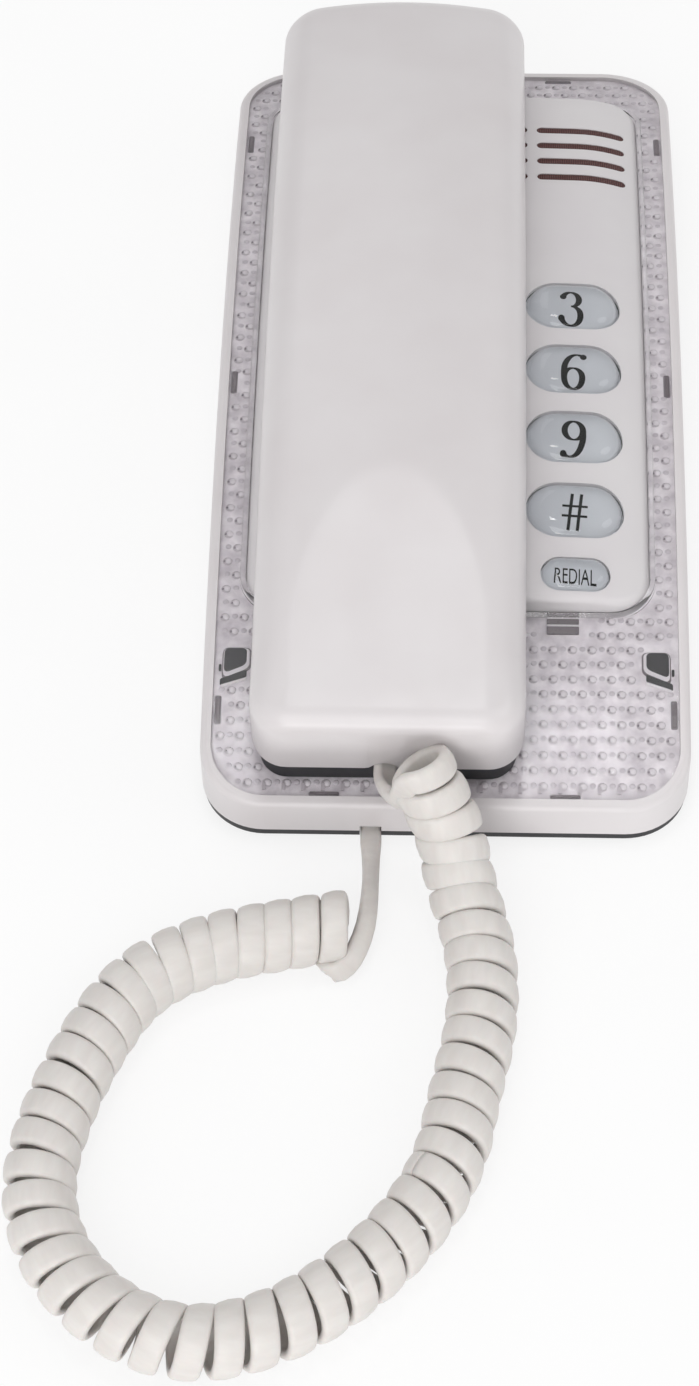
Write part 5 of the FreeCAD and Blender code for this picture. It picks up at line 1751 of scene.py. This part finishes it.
    def build_plate(self) -> None:
        """Makes the clear plate, the pale sheet under it and the lip of its opening."""
        level, under, bevel = self.plate_level, self.plate_under, self.plate_bevel
        first, last = self.plate_shares
        near, end = (self.lip_width * share for share in self.plate_ends)
        plan = [(0.0, 0.0, under), (0.0, 0.0, level - bevel), (0.0, bevel, level)]
        plan += [(share, 0.0, level) for share in np.linspace(first, last, 8)]
        plan += [(1.0, near, level), (1.0, end, level), (1.0, end, under)]
        plan += [(share, 0.0, under) for share in np.linspace(last, first, 9)]
        self.build_ring("plate", Finish.CLEAR, plan, 40.0, "clear_plate")
        low, high = (self.deck_level + lift for lift in self.backing_levels)
        shares = np.linspace(0.0, self.backing_share, 9)
        plan = [(share, 0.0, low) for share in shares] + [(share, 0.0, high) for share in shares[::-1]]
        self.build_ring("plate_backing", Finish.BACKING, plan, EDGE_ANGLE)
        plan = [(1.0, self.lip_width * across, level + self.lip_rise * rise)
                for across, rise in self.lip_section.points(12)]
        self.build_ring("plate_lip", Finish.LIP, plan)

    def inside_band(self, x: float, y: float, margin: float) -> bool:
        """Tells whether a spot lies on the plate, a margin clear of its edges.

        Args:
            x: The spot's place across the phone.
            y: Its place along it.
            margin: Room to each edge.

        Returns:
            True on the plate.
        """
        edge = self.rim_width + margin
        half_x, half_y = self.base_high.x - edge, self.base_high.y - edge
        radius = (self.base_radii[0] if y < 0 else self.base_radii[1]) - edge
        dx, dy = max(abs(x) - half_x + radius, 0.0), max(abs(y) - half_y + radius, 0.0)
        if abs(x) > half_x or abs(y) > half_y or math.hypot(dx, dy) > radius:
            return False
        return not (abs(x) < self.panel_high[0] + margin
                    and self.panel_low[1] - margin < y < self.panel_high[1] + margin)

    def dot_spots(self, start: Pair) -> np.ndarray:
        """Lists the places of one layer of dots: staggered rows, clear of tabs, catches and clip.

        Args:
            start: Where one of its dots lies.

        Returns:
            One row of X and Y for each dot.
        """
        blocked = [(self.clip_place[0] + dx, self.clip_place[1] + dy, self.clip_room)
                   for dx, dy in self.clip_clear]
        for side in (-1.0, 1.0):
            tab_x = side * (self.base_high.x - self.tab_inset)
            blocked.append((side * self.catch_place[0], self.catch_place[1], self.catch_room))
            blocked += [(tab_x, y, self.tab_room) for y in self.side_tabs]
        step_x, step_y = self.dot_pitch
        rows, columns = int(self.base_high.y / step_y) + 1, int(self.base_high.x / step_x) + 1
        spots = []
        for row in range(-rows, rows + 1):
            for column in range(-columns, columns + 1):
                x, y = (column + 0.5 * (row % 2)) * step_x + start[0], row * step_y + start[1]
                clear = all(math.hypot(x - bx, y - by) > room for bx, by, room in blocked)
                if clear and self.inside_band(x, y, self.dot_margin):
                    spots.append((x, y))
        return np.array(spots)

    def build_dots(self) -> None:
        """Grows the layers of dots under the plate, then the ribs along its low edge."""
        dots, ribs = RepeatTree(Motif.DOT), RepeatTree(Motif.RIB)
        plan = [(dots, name, self.dot_spots(start) + np.array(shift), self.dot_lift, size, finish)
                for name, size, start, shift, finish in self.dot_layers]
        edge = self.base_high.x - self.base_radii[0]
        xs = np.arange(-edge, edge, self.rib_pitch)
        flat = np.stack([xs, np.full(len(xs), self.base_low.y + self.rim_width + self.rib_inset)], 1)
        # The ribs take the same grey as the dots' painted shade.
        plan.append((ribs, "plate_ribs", flat, self.rib_size[2] / 2.0, self.rib_size, Finish.DOT_PAINTED_SHADE))
        for tree, name, flat, lift, size, finish in plan:
            points = self.arch.raised(flat, self.deck_level + lift)
            self.keep(tree.grow(name, points, self.arch.lean(flat[:, 1]), size, finish))

    def block(self, skin: Skin, centre: Pair, size: Point, slot: int, radius: float,
              slants: Pair = (0.0, 0.0)) -> None:
        """Adds a block to a piece, lying on the deck.

        Args:
            skin: The piece.
            centre: Its middle across and along the phone.
            size: Its width, length and height.
            slot: Which of the piece's finishes it takes.
            radius: Radius of its upright edges.
            slants: How steeply its low edge and its high edge rise across the phone.
        """
        half = np.array(size[:2]) / 2.0
        rings = []
        for inset, level in ((0.0, 0.0), (0.0, size[2] - self.block_bevel), (self.block_bevel, size[2])):
            flat = outline(-half, half, (radius, radius), inset, 3, (1, 1))
            slant = slants[0] + (slants[1] - slants[0]) * (flat[:, 1] / size[1] + 0.5)
            flat[:, 1] += slant * flat[:, 0]
            rings.append(self.arch.raised(flat + np.array(centre), self.deck_level + self.dot_lift + level))
        skin.loft(rings, slot=slot, caps=True)

    def build_tabs(self) -> None:
        """Makes the snap tabs that show through the plate's edge."""
        skin = Skin("plate_tabs", Finish.PAINTED_SHADE_GREY, Finish.DOT_SPECK)
        long, thick, tall = self.tab_size
        wider, foot = self.tab_foot
        spots = [(side * (self.base_high.x - self.tab_inset), y, (thick, long, tall))
                 for side in (-1.0, 1.0) for y in self.side_tabs]
        spots += [(x, side * (self.base_high.y - self.tab_inset), (long, thick * self.end_tab_share, tall))
                  for side in (-1.0, 1.0) for x in self.end_tabs]
        for x, y, size in spots:
            # Each tab is painted in shade grey, on a wider, lighter foot.
            self.block(skin, (x, y), size, 0, self.tab_rounds[0])
            self.block(skin, (x, y), (size[0] + wider, size[1] + wider, foot), 1, self.tab_rounds[1])
        self.keep(skin.finish(edge=EDGE_ANGLE))

    def build_catches(self) -> None:
        """Makes the two catches in the plate's windows and the clip below the panel, as one piece."""
        # The dark blocks paint the shade in each catch's window and on the clip; the pale ones paint
        # highlights on their clear edges.
        skin = Skin("plate_catches", Finish.SOCKET, Finish.PAINTED_HIGHLIGHT, Finish.PAINTED_SHADE_GREY)
        for side in (-1.0, 1.0):
            for (out, along), size, slot, radius, slants in self.catch_blocks:
                centre = (side * (self.catch_place[0] + out), self.catch_place[1] + along)
                self.block(skin, centre, size, slot, radius, (side * slants[0], side * slants[1]))
        for along, depth, slot in self.clip_bars:
            centre = (self.clip_place[0], self.clip_place[1] + along)
            size = (self.clip_length, depth, self.clip_height)
            self.block(skin, centre, size, slot, self.clip_round)
        self.keep(skin.finish(edge=EDGE_ANGLE))

    def build_cloth(self) -> None:
        """Makes the dust cloth that lies behind the speaker slots."""
        low = (-self.cloth_half, self.slot_rows[-1] - self.cloth_margin)
        high = (self.cloth_half, self.slot_rows[0] + self.cloth_margin)
        insets = np.linspace(0.0, self.cloth_reach, 9)
        plan = [(inset, self.cloth_levels[0]) for inset in insets[::-1]]
        plan += [(inset, self.cloth_levels[1]) for inset in insets]
        rings = []
        for inset, drop in plan:
            flat = outline(low, high, (self.cloth_round, self.cloth_round), inset, 3, (30, 8))
            rings.append(self.arch.raised(flat, self.panel_top.level(flat[:, 0]) + drop))
        skin = Skin("speaker_cloth", Finish.CLOTH)
        skin.loft(rings)
        self.keep(skin.finish(merge=POLE_REACH, edge=EDGE_ANGLE))

    def build(self) -> List[Piece]:
        """Makes every piece of the face, riding on the base.

        Returns:
            The pieces.
        """
        for step in (self.build_panel, self.build_plate, self.build_dots, self.build_tabs,
                     self.build_catches, self.build_cloth):
            step()
        return self.pieces


def dress_frame() -> None:
    """Gives every CAD node the finish of its material slot."""
    for part in frame["record"]["subparts"]:
        materials = frame["nodes"][part["node"]].data.materials
        materials.clear()
        materials.append(SLOT_FINISHES[part["material_slot"]].material)


def main() -> None:
    """Builds the studio, then each sub-assembly, and reports each piece."""
    logging.basicConfig(level=logging.INFO, format="%(name)s: %(message)s")
    Studio().build()
    dress_frame()
    _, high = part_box("base_housing")
    arch = Arch(high.z, high.y)
    for assembly in (CurlyCord(), HandsetShell(arch), Keypad(), Face(arch)):
        for piece in assembly.build():
            LOG.info("%s: %d faces", piece.name, len(piece.data.polygons))


if __name__ == "__main__":
    main()
